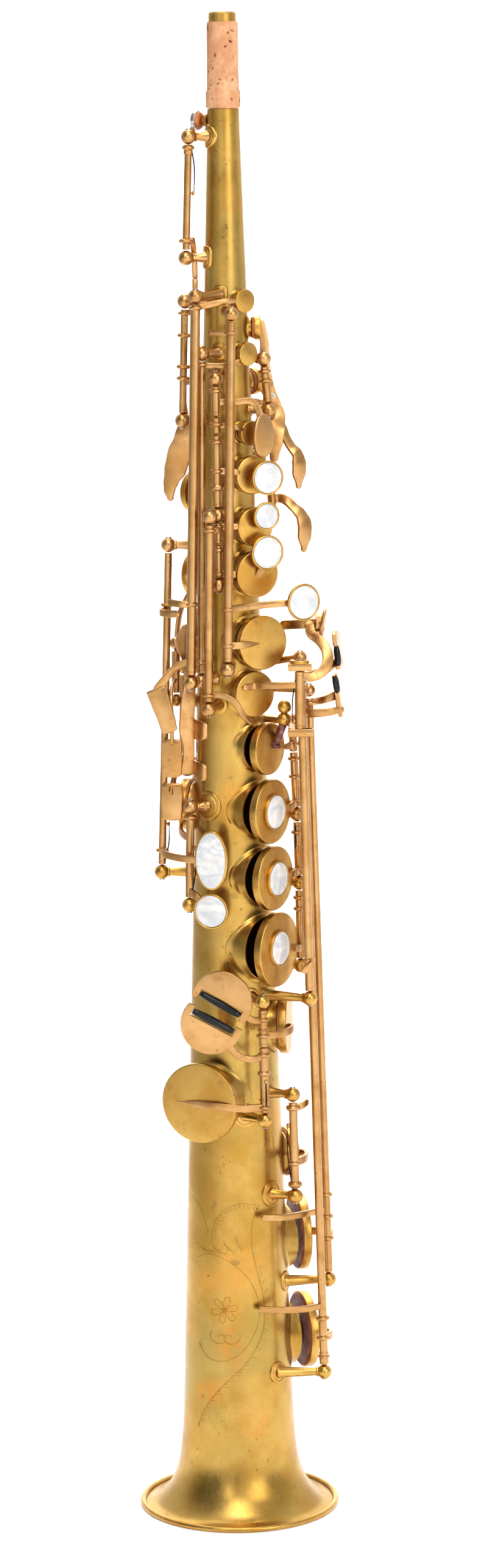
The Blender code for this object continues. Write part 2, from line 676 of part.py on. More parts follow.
def right_little_finger():
    a, b = Vector((12.5, -28.0, 237.4)), Vector((13.2, -30.0, 184.5))
    post(a, disc=4.0)
    post(b, foot_phi=12, disc=5.4)
    cut = a + (b - a) * ((217.2 - a.z) / (b.z - a.z))
    tilt = radians(-28)
    n = out(-12)
    up = Vector((0, 0, 1))
    right = up.cross(n)
    along = right * cos(tilt) + up * sin(tilt)
    away = up * cos(tilt) - right * sin(tilt)

    def half(sign):
        """Half of the round table: a disc cut along a chord, with a notch in the chord for its roller."""
        r, below = 13.6, 3.8
        start = degrees(asin(-below / r))
        pts = []
        for i in range(17):
            t = radians(start + (180 - 2 * start) * i / 16)
            pts.append((r * cos(t), r * sin(t) + below))
        pts += [(-10.2, 0), (-10.2, 4.6), (10.2, 4.6), (10.2, 0)]
        turned = [(x * cos(tilt) - y * sign * sin(tilt), x * sin(tilt) + y * sign * cos(tilt))
                  for x, y in pts]
        return turned[::sign]

    for name, low, hi, sign, chord, cup, lift_mm, stands_open in (
        ("e_flat_key", a, cut, 1, Vector((-7.0, -31.5, 235.3)), "e_flat", 3.0, False),
        ("low_c_key", cut, b, -1, Vector((-8.9, -31.2, 232.7)), "low_c", 5.2, True),
    ):
        k = Key(name, low, hi, (sign > 0, sign < 0))
        c = k.cup(cup)
        k.solids.append(plate(chord, n, half(sign), 1.7))
        if sign > 0:
            k.collar(225.0)
            k.arm([k.at(229.4), Vector((8.6, -31.4, 230.0)), chord + along * 11.0 + away * 3.0 - n * 1.3],
                  3.0, 1.6)
            k.arm([k.at(222.4), Vector((19.6, -25.0, 222.2)), Vector((25.6, -14.0, 222.2)),
                   c - out(82) * 0.4], 3.2, 1.6)
        else:
            k.collar(193.8)
            k.arm([k.at(213.6), Vector((7.6, -31.8, 212.8)), Vector((1.0, -31.6, 214.6)),
                   Vector((-2.6, -31.9, 218.6)),
                   chord + along * 6.0 - away * 9.0 - n * 1.1], 3.0, 1.6)
            k.arm([k.at(190.4), Vector((4.0, -30.4, 190.4)), Vector((-8.0, -27.8, 191.4)),
                   c + out(-35) * 0.2], 3.4, 1.8)
        middle = chord + away * sign * 2.4
        profile = [(0, 0), (1.2, 0), (1.75, 5), (1.75, 14.8), (1.2, 19.8), (0, 19.8)]
        k.extra.append((name + "_roller", "black", lathe(middle - along * 9.9, along, profile, 12)))
        k.finish_key(lift_mm, stands_open)


def upright_roller(center, normal, x, low, high, r=1.5):
    """A roller that stands in the front notch of a touch plate: x, low and high are in the plate's plane."""
    n = normal.normalized()
    up = (Vector((0, 0, 1)) - n * n.z).normalized()
    foot = center + up.cross(n) * x + up * low + n * 0.3
    h = high - low
    return lathe(foot, up, [(0, 0), (r - 0.35, 0), (r, h * 0.25), (r, h * 0.75), (r - 0.35, h), (0, h)], 12)


def left_little_finger():
    a, b = Vector((30.2, -21.5, 386.1)), Vector((30.0, -21.5, 353.95))
    c0, c1 = Vector((30.6, -16.5, 388.0)), Vector((33.4, -21.0, 237.2))
    bb0, bb1 = Vector((31.6, -11.0, 371.6)), Vector((38.5, -15.7, 65.2))
    b0, b1 = Vector((34.4, -5.5, 371.8)), Vector((41.0, -5.0, 104.9))
    stack_head = Vector((27.0, -2.0, 357.6))

    block_head(a - Vector((0, 0, 1.5)), 4.8, 5.2)
    block_head(b + Vector((0, 0, 1.75)), 5.0, 5.2)
    POSTS.append(rod(b + Vector((-3.8, 0, 1.75)), stack_head, 1.3, 6))
    post(c0, r=2.9, foot_phi=96, foot_z=383.0, stem=1.4)
    POSTS.append(rod(c0, a - Vector((0, 0, 1.0)), 1.3, 6))
    post(c1, foot_phi=48)
    post(b0, r=2.9, foot_phi=112, stem=1.5)
    POSTS.append(ball(bb0, 2.9))
    POSTS.append(rod(b0, bb0, 1.1, 6))
    post(b1, foot_phi=72, disc=4.6)
    post(bb1, foot_phi=48, disc=5.0)

    k = Key("g_sharp_key", a, b, radius=2.05)
    k.cup("g_sharp")
    k.arm([k.at(376.6), Vector((22.0, -22.0, 376.6)), Vector((14.5, -19.6, 376.2)),
           Vector((10.9, -17.4, 375.8)),
           Vector((6.6, -20.2, 375.6))], 3.0, 1.8)
    bow = [k.at(380.4), Vector((36.0, -20.8, 380.0)), Vector((40.4, -18.6, 382.2)),
           Vector((42.6, -15.6, 386.6)),
           Vector((42.0, -13.0, 390.6)), Vector((39.0, -10.4, 394.6)), Vector((35.6, -8.6, 397.4)),
           Vector((34.9, -7.6, 400.6))]
    k.arm(bow, [3.6, 4.0, 4.6, 4.8, 4.6, 4.4, 4.4, 4.4], 2.4, face=Vector((0.1, -0.95, 0.2)))
    k.arm([Vector((24.0, 1.0, 399.8)), Vector((31.0, -3.0, 400.6)), Vector((38.6, -6.0, 401.4))], 4.0, 2.2)
    k.solids.append(rod(Vector((37.4, -5.6, 401.3)), Vector((41.0, -5.2, 401.0)), 4.1, 14))
    k.solids.append(lathe(Vector((40.2, -5.0, 401.0)), Vector((1, -0.12, -0.16)),
                          [(0, 0), (6.6, 0), (7.1, 1.0), (0, 1.9)], 18))
    k.finish_key(2.6, False)

    mm = 6.0
    k = Key("low_b_flat_key", bb0, bb1)
    c = k.cup("low_b_flat", 4.6)
    k.collar(362.0)
    k.collar(90.0)
    k.standing_arm(mm, [k.at(362.6), Vector((37.0, -13.2, 362.8)), Vector((43.4, -13.6, 363.4)),
                        Vector((48.4, -11.2, 364.0))], [4.0, 3.8, 3.4, 2.6], 1.8)
    center, ahead = k.shut(mm, (47.4, -6.4, 370.0)), k.shut(mm, (48.4, -6.55, 370.16))
    n = ahead - center
    k.solids.append(plate(center, n, [(-6, -9.3), (3.6, -9.3), (3.6, 9.3), (-6, 9.3), (-6, 8.9),
                                      (-2.9, 8.9), (-2.9, 1.3),
                                      (-6, 1.3)], 1.8))
    k.extra.append(("low_b_flat_roller", "black", upright_roller(center, n, -4.6, 1.6, 8.6)))
    k.arm([k.at(81.0), Vector((40.0, -8.0, 80.0)), Vector((36.4, 4.0, 78.0)), c - out(118) * 0.4], 3.6, 1.8)
    k.standing_arm(mm, [k.at(95.6), Vector((31.0, -20.8, 95.9)), Vector((21.0, -24.0, 96.3)),
                        Vector((10.6, -24.6, 96.8))], 2.8, 1.8)
    k.finish_key(mm, True)

    k = Key("low_b_key", b0, b1)
    c = k.cup("low_b", 4.6)
    for z in (366.5, 144.0, 134.0):
        k.collar(z)
    k.standing_arm(mm, [k.at(366.5), Vector((39.6, -3.0, 366.8)), Vector((46.4, 3.6, 368.0))],
                   [3.0, 3.4, 4.0], 1.6)
    center, ahead = k.shut(mm, (47.0, 5.5, 369.6)), k.shut(mm, (48.0, 5.4, 369.7))
    k.solids.append(plate(center, ahead - center, [(-4.4, -8), (4.4, -8), (4.4, 7.6), (-4.4, 7.6)], 1.8))
    k.arm([k.at(124.0), Vector((40.4, 3.0, 123.6)), Vector((34.6, 10.0, 122.4)), c - out(118) * 0.4], 3.6,
          1.8)
    k.standing_arm(mm, [k.at(137.0), Vector((36.2, -7.4, 136.9)), Vector((28.6, -13.6, 137.1)),
                        Vector((20.4, -19.8, 137.6)), Vector((12.2, -22.6, 138.3))], 2.8, 1.8)
    k.finish_key(mm, True)

    k = Key("low_c_sharp_lever", c0, c1)
    k.collar(377.0, 2.4)
    k.collar(254.0)
    k.arm([k.at(379.6), Vector((36.8, -15.0, 380.6)), Vector((42.5, -9.5, 381.8)),
           Vector((45.6, -4.0, 383.4)),
           Vector((47.4, -1.6, 384.2))], [3.0, 3.4, 3.6, 4.0, 4.0], 1.6)
    center, n = Vector((47.2, -2.0, 390.0)), Vector((1, -0.15, 0.12))
    k.solids.append(plate(center, n, [(-7.5, -8.8), (7, -8.8), (7, 6.6), (-5.2, 8), (-7.5, 6.8),
                                      (-7.5, 1.6), (-4.4, 1.6),
                                      (-4.4, -7.2), (-7.5, -7.2)], 2.0))
    k.extra.append(("low_c_sharp_roller", "black", upright_roller(center, n, -6.1, -6.9, 1.3)))
    k.arm([k.at(254.0), Vector((34.4, -25.4, 253.4)), Vector((31.2, -26.4, 251.0))], 3.0, 1.6)
    k.seat_at = (Vector((47.0, -1.6, 389.4)), Vector((-1, 0, 0)))
    k.finish_key(2.0, False)

    s0, s1 = Vector((25.5, -17.0, 192.9)), Vector((26.3, -18.6, 147.1))
    post(s0, foot_phi=52)
    post(s1, foot_phi=48, disc=6.0)
    k = Key("low_c_sharp_key", s0, s1)
    c = k.cup("low_c_sharp")
    k.collar(187.0)
    k.arm([k.at(162.0), Vector((31.0, -8.0, 161.6)), Vector((30.4, 3.4, 161.0)), c - out(112) * 0.4], 3.4,
          1.7)
    k.arm([k.at(186.6), Vector((29.6, -15.6, 187.6)), Vector((31.4, -13.6, 188.4))], 3.0, 1.6)
    k.finish_key(3.2, False)


def body():
    outer = [(0, FLARE[0][0])] + [(r, z) for z, r in FLARE] + [(body_r(CONE_HIGH), CONE_HIGH)]
    outer += [(body_r(CONE_HIGH), SHOULDER), (TENON_R, SHOULDER), (TENON_R, LENGTH), (0, LENGTH)]
    up = Vector((0, 0, 1))
    solids = [lathe(Vector((0, 0, 0)), up, outer, 28)]
    cuts = []
    for name, (phi, z, hole, cup) in HOLES.items():
        n = out(phi)
        rim = seat(name)
        r = hole + (CHIMNEY_WALL if hole > 2 else 1.2)
        solids.append(lathe(pol(phi, 2.0, z), n, [(0, 0), (r, 0), (r, rim - 2.0), (0, rim - 2.0)],
                            8 if hole < 6 else 14))
        cuts.append(rod(pol(phi, 1.0, z), pol(phi, rim + 1.0, z), hole, 8 if hole < 6 else 14))
    inner = [(0, -2), (FLARE[0][1] - 0.25, -2)]
    for (za, ra), (zb, rb) in zip(FLARE, FLARE[1:]):
        d = hypot(zb - za, rb - ra)
        inner.append((ra + (zb - za) / d * -WALL, za + (rb - ra) / d * WALL))
    inner += [(body_r(CONE_LOW) - WALL, CONE_LOW), (body_r(CONE_HIGH) - 1.2, CONE_HIGH),
              (TENON_BORE, 626.0)]
    inner += [(TENON_BORE, LENGTH + 2), (0, LENGTH + 2)]
    cuts.insert(0, lathe(Vector((0, 0, 0)), up, inner, 28))
    build("body_tube", "brass", solids + POSTS + PINS, cuts)


def fixed_pieces():
    up = Vector((0, 0, 1))
    o = Vector((0, 0, 0))
    s = RIM_TUBE
    section = [(RIM_R - s, s), (RIM_R - 0.8, 0), (RIM_R + 0.8, 0), (RIM_R + s, s), (RIM_R + 0.8, 2.4),
               (RIM_R - 0.8, 2.4)]
    build("bell_rim_ring", "brass", [ring_solid(o, up, section, 36)])

    hole = TENON_R + 0.05
    sleeve = [(hole, CORK[0][0])] + [(r, z) for z, r in CORK] + [(hole, CORK[-1][0])]
    build("tenon_cork", "cork", [ring_solid(o, up, sleeve, 24)])

    n = out(-130)
    c = pol(-130, body_r(457.7) + 0.1, 457.7)
    build("thumb_rest_base", "brass", [lathe(c, n, [(0, 0), (4.2, 0), (4.2, 4.2), (9.2, 4.8), (9.2, 7.6), (8.4, 7.6),
                                                    (8.4, 6.8), (0, 6.8)], 14)])
    build("thumb_rest_pad", "black", [lathe(c + n * 6.86, n,
                                            [(0, 0), (8.3, 0), (8.3, 1.2), (6.2, 2.4), (0, 2.8)], 14)])

    z = 292.0
    rb = body_r(z)
    foot = plate(pol(180, rb + 1.2, z), out(180), [(-7, -13), (7, -13), (7, 13), (-7, 13)], 1.6)
    hook = bar([pol(180, rb + 1.6, z + 3), pol(180, rb + 9, z + 5), pol(180, rb + 20, z + 3.5),
                pol(180, rb + 27, z - 4),
                pol(180, rb + 29, z - 13)], 11.0, 2.2, Vector((1, 0, 0)))
    build("thumb_hook", "brass", [foot, hook])

    z = 345.0
    rb = body_r(z)
    foot = plate(pol(180, rb + 1.2, z), out(180), oval(5.5, 9.0, 14), 1.6)
    stem = rod(pol(180, rb + 1.4, z), pol(180, rb + 4.6, z), 2.2, 8)
    hoop = ring_solid(pol(180, rb + 9.6, z), Vector((1, 0, 0)), [(4.7, -1), (4.7, 1), (6.5, 1), (6.5, -1)],
                      20)
    build("strap_ring", "brass", [foot, stem, hoop])

    wave = [(-74, 21.4, 399.5), (-75, 24.0, 393.7), (-74, 21.4, 386.0), (-73, 20.6, 378.0),
            (-74, 22.4, 364.0),
            (-74, 23.0, 355.0), (-73, 21.4, 346.0), (-74, 22.6, 336.0)]
    web = [pol(p, body_r(z) + 0.9 + (r - body_r(z)) * 0.5, z) for p, r, z in wave]
    blade = bar(web, [r - body_r(z) - 1.0 for p, r, z in wave], 1.5, out(-74))
    feet = [plate(pol(-68, body_r(z) + 1.25, z), out(-68),
                  [(-6.5, -4.5), (6.5, -4.5), (6.5, 4.5), (-6.5, 4.5)], 1.4)
            for z in (355.0, 336.5)]
    build("side_key_guard", "rose_brass", [blade] + feet)


main()
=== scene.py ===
"""Soprano saxophone: the finished surfaces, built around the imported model.

Pieces are shaped in millimetres and their meshes are in metres. The tube stands on Z with its front
towards -Y. phi is the angle round the tube in degrees: 0 at the front, 90 towards +X, 180 at the back.
Each key is shaped with its pad down on the tone hole; a key that stands open is then turned about its
hinge by its joint's travel.
"""

import json
from math import asin, atan2, cos, degrees, hypot, pi, radians, sin, sqrt

import bmesh
import bpy
from mathutils import Matrix, Vector

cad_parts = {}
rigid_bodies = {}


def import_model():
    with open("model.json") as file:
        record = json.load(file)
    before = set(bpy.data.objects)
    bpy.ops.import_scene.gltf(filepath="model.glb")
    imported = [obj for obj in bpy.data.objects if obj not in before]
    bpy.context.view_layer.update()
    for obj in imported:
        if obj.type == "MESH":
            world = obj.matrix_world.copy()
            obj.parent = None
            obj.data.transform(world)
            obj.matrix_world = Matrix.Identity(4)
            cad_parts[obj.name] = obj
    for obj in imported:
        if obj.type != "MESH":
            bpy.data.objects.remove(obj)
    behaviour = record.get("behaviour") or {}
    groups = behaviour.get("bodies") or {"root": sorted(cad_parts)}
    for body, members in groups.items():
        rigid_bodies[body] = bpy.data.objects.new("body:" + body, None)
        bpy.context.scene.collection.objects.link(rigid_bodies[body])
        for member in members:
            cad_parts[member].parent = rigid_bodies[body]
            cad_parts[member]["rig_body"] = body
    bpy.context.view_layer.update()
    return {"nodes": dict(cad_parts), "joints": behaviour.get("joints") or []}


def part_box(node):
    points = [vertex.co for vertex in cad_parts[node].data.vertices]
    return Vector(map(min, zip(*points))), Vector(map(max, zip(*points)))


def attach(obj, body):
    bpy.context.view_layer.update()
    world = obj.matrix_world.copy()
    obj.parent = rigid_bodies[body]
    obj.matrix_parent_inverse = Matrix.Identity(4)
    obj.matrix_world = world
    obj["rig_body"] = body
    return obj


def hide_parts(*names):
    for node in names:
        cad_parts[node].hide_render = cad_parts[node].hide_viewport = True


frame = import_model()

MM = 0.001
NODES = frame["nodes"]
JOINTS = {j["child"]: j for j in frame["joints"]}
UP = Vector((0, 0, 1))


def node_box(name):
    """A CAD node's box in millimetres."""
    low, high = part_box(name)
    return low / MM, high / MM


# body: the cone, its flare and its two ends
LENGTH = node_box("body_tube")[1].z
RIM_R = (node_box("bell_rim_ring")[1].x - node_box("bell_rim_ring")[0].x) / 2
CORK_LOW, CORK_HIGH = node_box("tenon_cork")[0].z, node_box("tenon_cork")[1].z
CONE_LOW, CONE_HIGH = 45.0, 620.0
D_HIGH, CONE_SLOPE = 13.8, 0.0615
WALL = 0.7
FLARE = [(1.3, 42.0), (2.6, 38), (7, 33), (12.4, 29.5), (20, 27.0), (30, 25.6), (45, 24.58)]
CHIMNEY_WALL, CHIMNEY_RISE, VENT_RISE = 0.8, 1.3, 3.4
TENON_R = 5.9

# keywork
ROSE_ABOVE = 300.0
TUBE_R, BALL_R, PAD_GAP, CUP_H = 1.85, 3.25, 0.12, 4.2

# tone holes: name -> (phi, z, radius of the hole, radius of the cup)
HOLES = {
    "high_f_sharp": (37, 542.3, 3.3, 5.1),
    "side_e": (41, 519.5, 3.4, 5.1),
    "palm_f": (92, 530.0, 3.5, 5.35),
    "palm_e_flat": (128, 506.0, 3.8, 5.8),
    "palm_d": (126, 472.0, 4.2, 6.2),
    "c_vent": (38, 485.6, 3.6, 5.4),
    "b": (38, 467.6, 6.2, 8.4),
    "bis": (38, 445.2, 6.4, 8.5),
    "a": (39, 424.6, 7.9, 10.1),
    "g": (41, 394.6, 9.3, 11.85),
    "g_sharp": (33, 372.0, 7.9, 10.0),
    "side_c": (-118, 422.0, 7.2, 9.5),
    "side_b_flat": (-150, 398.0, 7.4, 9.6),
    "alt_f_sharp": (-104, 320.0, 8.9, 11.4),
    "f_sharp": (48, 347.5, 9.1, 11.5),
    "f": (48, 319.8, 11.2, 14.2),
    "e": (48, 290.2, 11.4, 14.2),
    "d": (49, 258.4, 13.4, 16.5),
    "e_flat": (82, 222.1, 10.8, 13.4),
    "low_c": (-35, 191.4, 14.6, 17.8),
    "low_c_sharp": (112, 160.5, 8.6, 11.0),
    "low_b": (118, 121.5, 14.2, 17.4),
    "low_b_flat": (118, 76.0, 14.0, 17.2),
    "octave_low": (176, 497.0, 1.3, 3.6),
    "octave_high": (-115, 618.8, 1.0, 4.3),
}
PIPS = ("octave_low", "octave_high")


def body_r(z):
    """Outer radius of the tube at height z."""
    if z >= CONE_LOW:
        return (D_HIGH + CONE_SLOPE * max(0.0, CONE_HIGH - z)) / 2
    if z <= FLARE[0][0]:
        return FLARE[0][1]
    for i in range(len(FLARE) - 1):
        (z0, r0), (z1, r1) = FLARE[i], FLARE[i + 1]
        if z <= z1:
            before = FLARE[max(i - 1, 0)]
            after = FLARE[i + 2] if i + 2 < len(FLARE) else (CONE_LOW + 10, body_r(CONE_LOW + 10))
            m0 = (r1 - before[1]) / (z1 - before[0])
            m1 = (after[1] - r0) / (after[0] - z0)
            h, t = z1 - z0, (z - z0) / (z1 - z0)
            return ((2 * t ** 3 - 3 * t ** 2 + 1) * r0 + (t ** 3 - 2 * t ** 2 + t) * h * m0
                    + (3 * t ** 2 - 2 * t ** 3) * r1 + (t ** 3 - t ** 2) * h * m1)
    return FLARE[-1][1]


def seat(name):
    """How far a tone hole's rim stands from the axis of the tube."""
    rise = VENT_RISE if name == "octave_high" else CHIMNEY_RISE
    return (D_HIGH + CONE_SLOPE * (CONE_HIGH - HOLES[name][1])) / 2 + rise


def pol(phi, rho, z):
    """The point at the angle phi and the distance rho from the axis of the tube."""
    a = radians(phi)
    return Vector((rho * sin(a), -rho * cos(a), z))


def out(phi):
    """The direction away from the axis at the angle phi."""
    return pol(phi, 1.0, 0.0)


# ---------------------------------------------------------------- shells: (vertices, faces)

def perp(axis):
    """Two directions square to an axis and to each other."""
    ref = UP if abs(axis.z) < 0.9 else Vector((1, 0, 0))
    u = axis.cross(ref).normalized()
    return u, axis.cross(u).normalized()


def bridge(rings, closed=False):
    """Closed skin over rings of points: a ring of one point is a tip, and open ends get a flat face."""
    verts, faces, starts = [], [], []
    for ring in rings:
        starts.append(len(verts))
        verts.extend(ring)
    pairs = list(zip(range(len(rings)), range(1, len(rings))))
    if closed:
        pairs.append((len(rings) - 1, 0))
    for i, j in pairs:
        na, nb = len(rings[i]), len(rings[j])
        for k in range(max(na, nb)):
            m = (k + 1) % max(na, nb)
            corners = [starts[i] + k % na, starts[i] + m % na, starts[j] + m % nb, starts[j] + k % nb]
            face = list(dict.fromkeys(corners))
            if len(face) > 2:
                faces.append(face)
    if not closed:
        for i in (0, len(rings) - 1):
            if len(rings[i]) > 2:
                faces.append(list(range(starts[i], starts[i] + len(rings[i]))))
    return verts, faces


def circle(c, u, v, r, sides):
    """Points round c in the plane of u and v."""
    return [c + (u * cos(2 * pi * k / sides) + v * sin(2 * pi * k / sides)) * r for k in range(sides)]


def lathe(origin, axis, profile, sides=40, closed=False):
    """Solid of revolution: profile is (radius, height) pairs along axis."""
    axis = Vector(axis).normalized()
    u, v = perp(axis)
    rings = []
    for r, h in profile:
        c = Vector(origin) + axis * h
        if r < 1e-6:
            rings.append([c])
        else:
            rings.append(circle(c, u, v, r, sides))
    return bridge(rings, closed)


def rounded(profile, radius, steps=4):
    """The polyline with its inner corners rounded."""
    made = [profile[0]]
    for a, b, c in zip(profile, profile[1:], profile[2:]):
        va, vc = Vector(a) - Vector(b), Vector(c) - Vector(b)
        cut = min(radius, va.length * 0.49, vc.length * 0.49)
        if cut < 1e-4 or abs(va.normalized().dot(vc.normalized())) > 0.999:
            made.append(b)
            continue
        p, q = Vector(b) + va.normalized() * cut, Vector(b) + vc.normalized() * cut
        for i in range(steps + 1):
            t = i / steps
            made.append(tuple(p * (1 - t) ** 2 + Vector(b) * 2 * t * (1 - t) + q * t ** 2))
    made.append(profile[-1])
    return made


def rod(origin, axis, r, height, sides):
    """A plain round bar with flat ends."""
    return lathe(origin, axis, [(0, 0), (r, 0), (r, height), (0, height)], sides)


def sphere(c, r, sides=28, rings=16):
    """A ball."""
    prof = [(r * sin(pi * i / rings), -r * cos(pi * i / rings)) for i in range(rings + 1)]
    prof[0], prof[-1] = (0, -r), (0, r)
    return lathe(c, UP, prof, sides)


def spline(points, per=8):
    """A smooth curve through points, each a Vector."""
    pts = [Vector(p) for p in points]
    if len(pts) < 3:
        return [pts[0].lerp(pts[1], i / per) for i in range(per + 1)]
    made = []
    for i in range(len(pts) - 1):
        p0 = pts[i - 1] if i else pts[0] * 2 - pts[1]
        p3 = pts[i + 2] if i + 2 < len(pts) else pts[-1] * 2 - pts[-2]
        p1, p2 = pts[i], pts[i + 1]
        d1 = max((p2 - p1).length, 1e-6)
        d0, d2 = max((p1 - p0).length, 1e-6), max((p3 - p2).length, 1e-6)
        m1 = ((p1 - p0) / d0 * d1 + (p2 - p1) / d1 * d0) / (d0 + d1)
        m2 = ((p2 - p1) / d1 * d2 + (p3 - p2) / d2 * d1) / (d1 + d2)
        for k in range(per):
            t = k / per
            made.append(p1 * (2 * t ** 3 - 3 * t * t + 1) + m1 * d1 * (t ** 3 - 2 * t * t + t)
                        + p2 * (3 * t * t - 2 * t ** 3) + m2 * d1 * (t ** 3 - t * t))
    return made + [pts[-1]]


def spread(values, per, count):
    """Values at the control points, carried to every station of a spline."""
    if not isinstance(values, (list, tuple)):
        return [values] * count
    made = []
    for a, b in zip(values, values[1:]):
        made += [a + (b - a) * (3 * t * t - 2 * t ** 3) for t in (k / per for k in range(per))]
    return made + [values[-1]]


def box_section(w, t, edge=0.42, steps=3):
    """Rounded rectangle, w along the first axis and t along the second."""
    e = min(edge, w * 0.45, t * 0.45)
    made = []
    for cx, cy, start in ((1, 1, 0), (-1, 1, 90), (-1, -1, 180), (1, -1, 270)):
        for i in range(steps + 1):
            a = radians(start + 90 * i / steps)
            made.append((cx * (w / 2 - e) + e * cos(a), cy * (t / 2 - e) + e * sin(a)))
    return made


def sweep(points, width, thick, up=UP, per=8, edge=0.42, round_ends=(0.5, 0.5), crown=0.0, face=None):
    """Bar with rounded edges along a smooth curve: width runs along up, or thick along face."""
    path = spline(points, per)
    ws, ts = spread(width, per, len(path)), spread(thick, per, len(path))
    rings = []
    n = len(path)
    for i, p in enumerate(path):
        d = (path[min(i + 1, n - 1)] - path[max(i - 1, 0)]).normalized()
        side = (d.cross(up) if face is None else face - d * face.dot(d)).normalized()
        top = side.cross(d).normalized()
        stations = [(0.0, 1.0)]
        if i in (0, n - 1):
            way = -1 if i == 0 else 1
            reach = ws[i] * round_ends[0 if i == 0 else 1]
            if reach > 0:
                caps = [(way * reach * sin(radians(a)), cos(radians(a))) for a in (22, 45, 66, 82)]
                stations = caps[::-1] + stations if i == 0 else stations + caps
        for shift, scale in stations:
            ring = []
            for a, b in box_section(ws[i] * scale, ts[i] * (0.35 + 0.65 * scale), edge):
                off = min(1.0, abs(2 * a / max(ws[i] * scale, 1e-6)))
                bulge = crown * (1 - off ** 2) * (1 if b > 0 else -1)
                ring.append(p + d * shift + top * a + side * (b + bulge))
            rings.append(ring)
    return bridge(rings)


def wire(points, radius, per=8, sides=8):
    """Round wire along a smooth curve."""
    path = spline(points, per)
    rs = spread(radius, per, len(path))
    rings = []
    n = len(path)
    u = None
    for i, p in enumerate(path):
        d = (path[min(i + 1, n - 1)] - path[max(i - 1, 0)]).normalized()
        u = perp(d)[0] if u is None else (u - d * u.dot(d)).normalized()
        v = d.cross(u)
        rings.append(circle(p, u, v, rs[i], sides))
    return bridge(rings)


def plate(center, normal, outline, thick, edge=0.4, dome=0.0, steps=4):
    """Flat plate with rounded edges. outline is (right, up) pairs; dome lifts the middle of both faces."""
    n = normal.normalized()
    up = (UP - n * n.z).normalized()
    rt = up.cross(n)
    pts = [Vector(p) for p in outline]
    if sum(a.x * b.y - a.y * b.x for a, b in zip(pts, pts[1:] + pts[:1])) < 0:
        pts.reverse()
    count = len(pts)
    inward = []
    for i in range(count):
        e0 = (pts[i] - pts[i - 1]).normalized()
        e1 = (pts[(i + 1) % count] - pts[i]).normalized()
        m = Vector((-(e0.y + e1.y), e0.x + e1.x))
        m = m.normalized() if m.length > 1e-6 else Vector((-e0.y, e0.x))
        inward.append(m / max(0.5, m.dot(Vector((-e0.y, e0.x)))))
    reach = max(p.length for p in pts)

    def layer(inset, h):
        made = []
        for p, m in zip(pts, inward):
            q = p + m * inset
            made.append(center + rt * q.x + up * q.y + n * (h + dome * (1 - (q.length / reach) ** 2)))
        return made

    rings = [layer(edge * (1 - sin(radians(a))), -thick / 2 + edge * (1 - cos(radians(a))))
             for a in (90 * i / steps for i in range(steps + 1))]
    rings += [layer(edge * (1 - cos(radians(a))), thick / 2 - edge * (1 - sin(radians(a))))
              for a in (90 * i / steps for i in range(steps + 1))]
    if dome:
        for t in (0.8, 0.6, 0.4, 0.2):
            ring = []
            for p, m in zip(pts, inward):
                q = (p + m * edge) * t
                h = thick / 2 + dome * (1 - (q.length / reach) ** 2)
                ring.append(center + rt * q.x + up * q.y + n * h)
            rings.append(ring)
        rings.append([center + n * (thick / 2 + dome)])
    return bridge(rings)


def oval(rx, ry, n=48):
    return [(rx * cos(2 * pi * k / n), ry * sin(2 * pi * k / n)) for k in range(n)]


def on_body(phi, z, side, along, lift=0.0):
    """A point over the tube's surface: side and along are lengths round and up the tube from (phi, z)."""
    h = z + along
    r = body_r(h)
    side = max(-r * 0.985, min(r * 0.985, side))
    n, t = out(phi), out(phi + 90)
    return n * (sqrt(r * r - side * side) + lift) + t * side + UP * h


def flange(phi, z, r, thick=0.9, groove=True, outline=None):
    """Round or shaped foot that follows the tube's surface, with a rounded edge and a turned groove."""
    sides = 48
    edge = min(0.5, thick * 0.6)
    levels = [(1.0, -0.5), (1.0, thick - edge)]
    levels += [(1 - 0.3 * edge / r, thick - 0.3 * edge), (1 - edge / r, thick)]
    if groove:
        levels += [(0.80, thick), (0.77, thick - 0.25), (0.72, thick - 0.25), (0.69, thick)]
    levels += [(0.45, thick), (0.15, thick)]
    rings = []
    for scale, lift in levels:
        ring = []
        for k in range(sides):
            a = 2 * pi * k / sides
            x, y = (r * cos(a), r * sin(a)) if outline is None else outline(a)
            ring.append(on_body(phi, z, x * scale, y * scale, lift))
        rings.append(ring)
    rings.append([on_body(phi, z, 0, 0, thick)])
    return bridge(rings)


def squarish(rx, ry, power=4.0):
    """Outline of a plate with rounded corners, as a function of the angle."""
    def at(a):
        c, s = cos(a), sin(a)
        k = (abs(c) ** power + abs(s) ** power) ** (-1 / power)
        return rx * k * c, ry * k * s
    return at


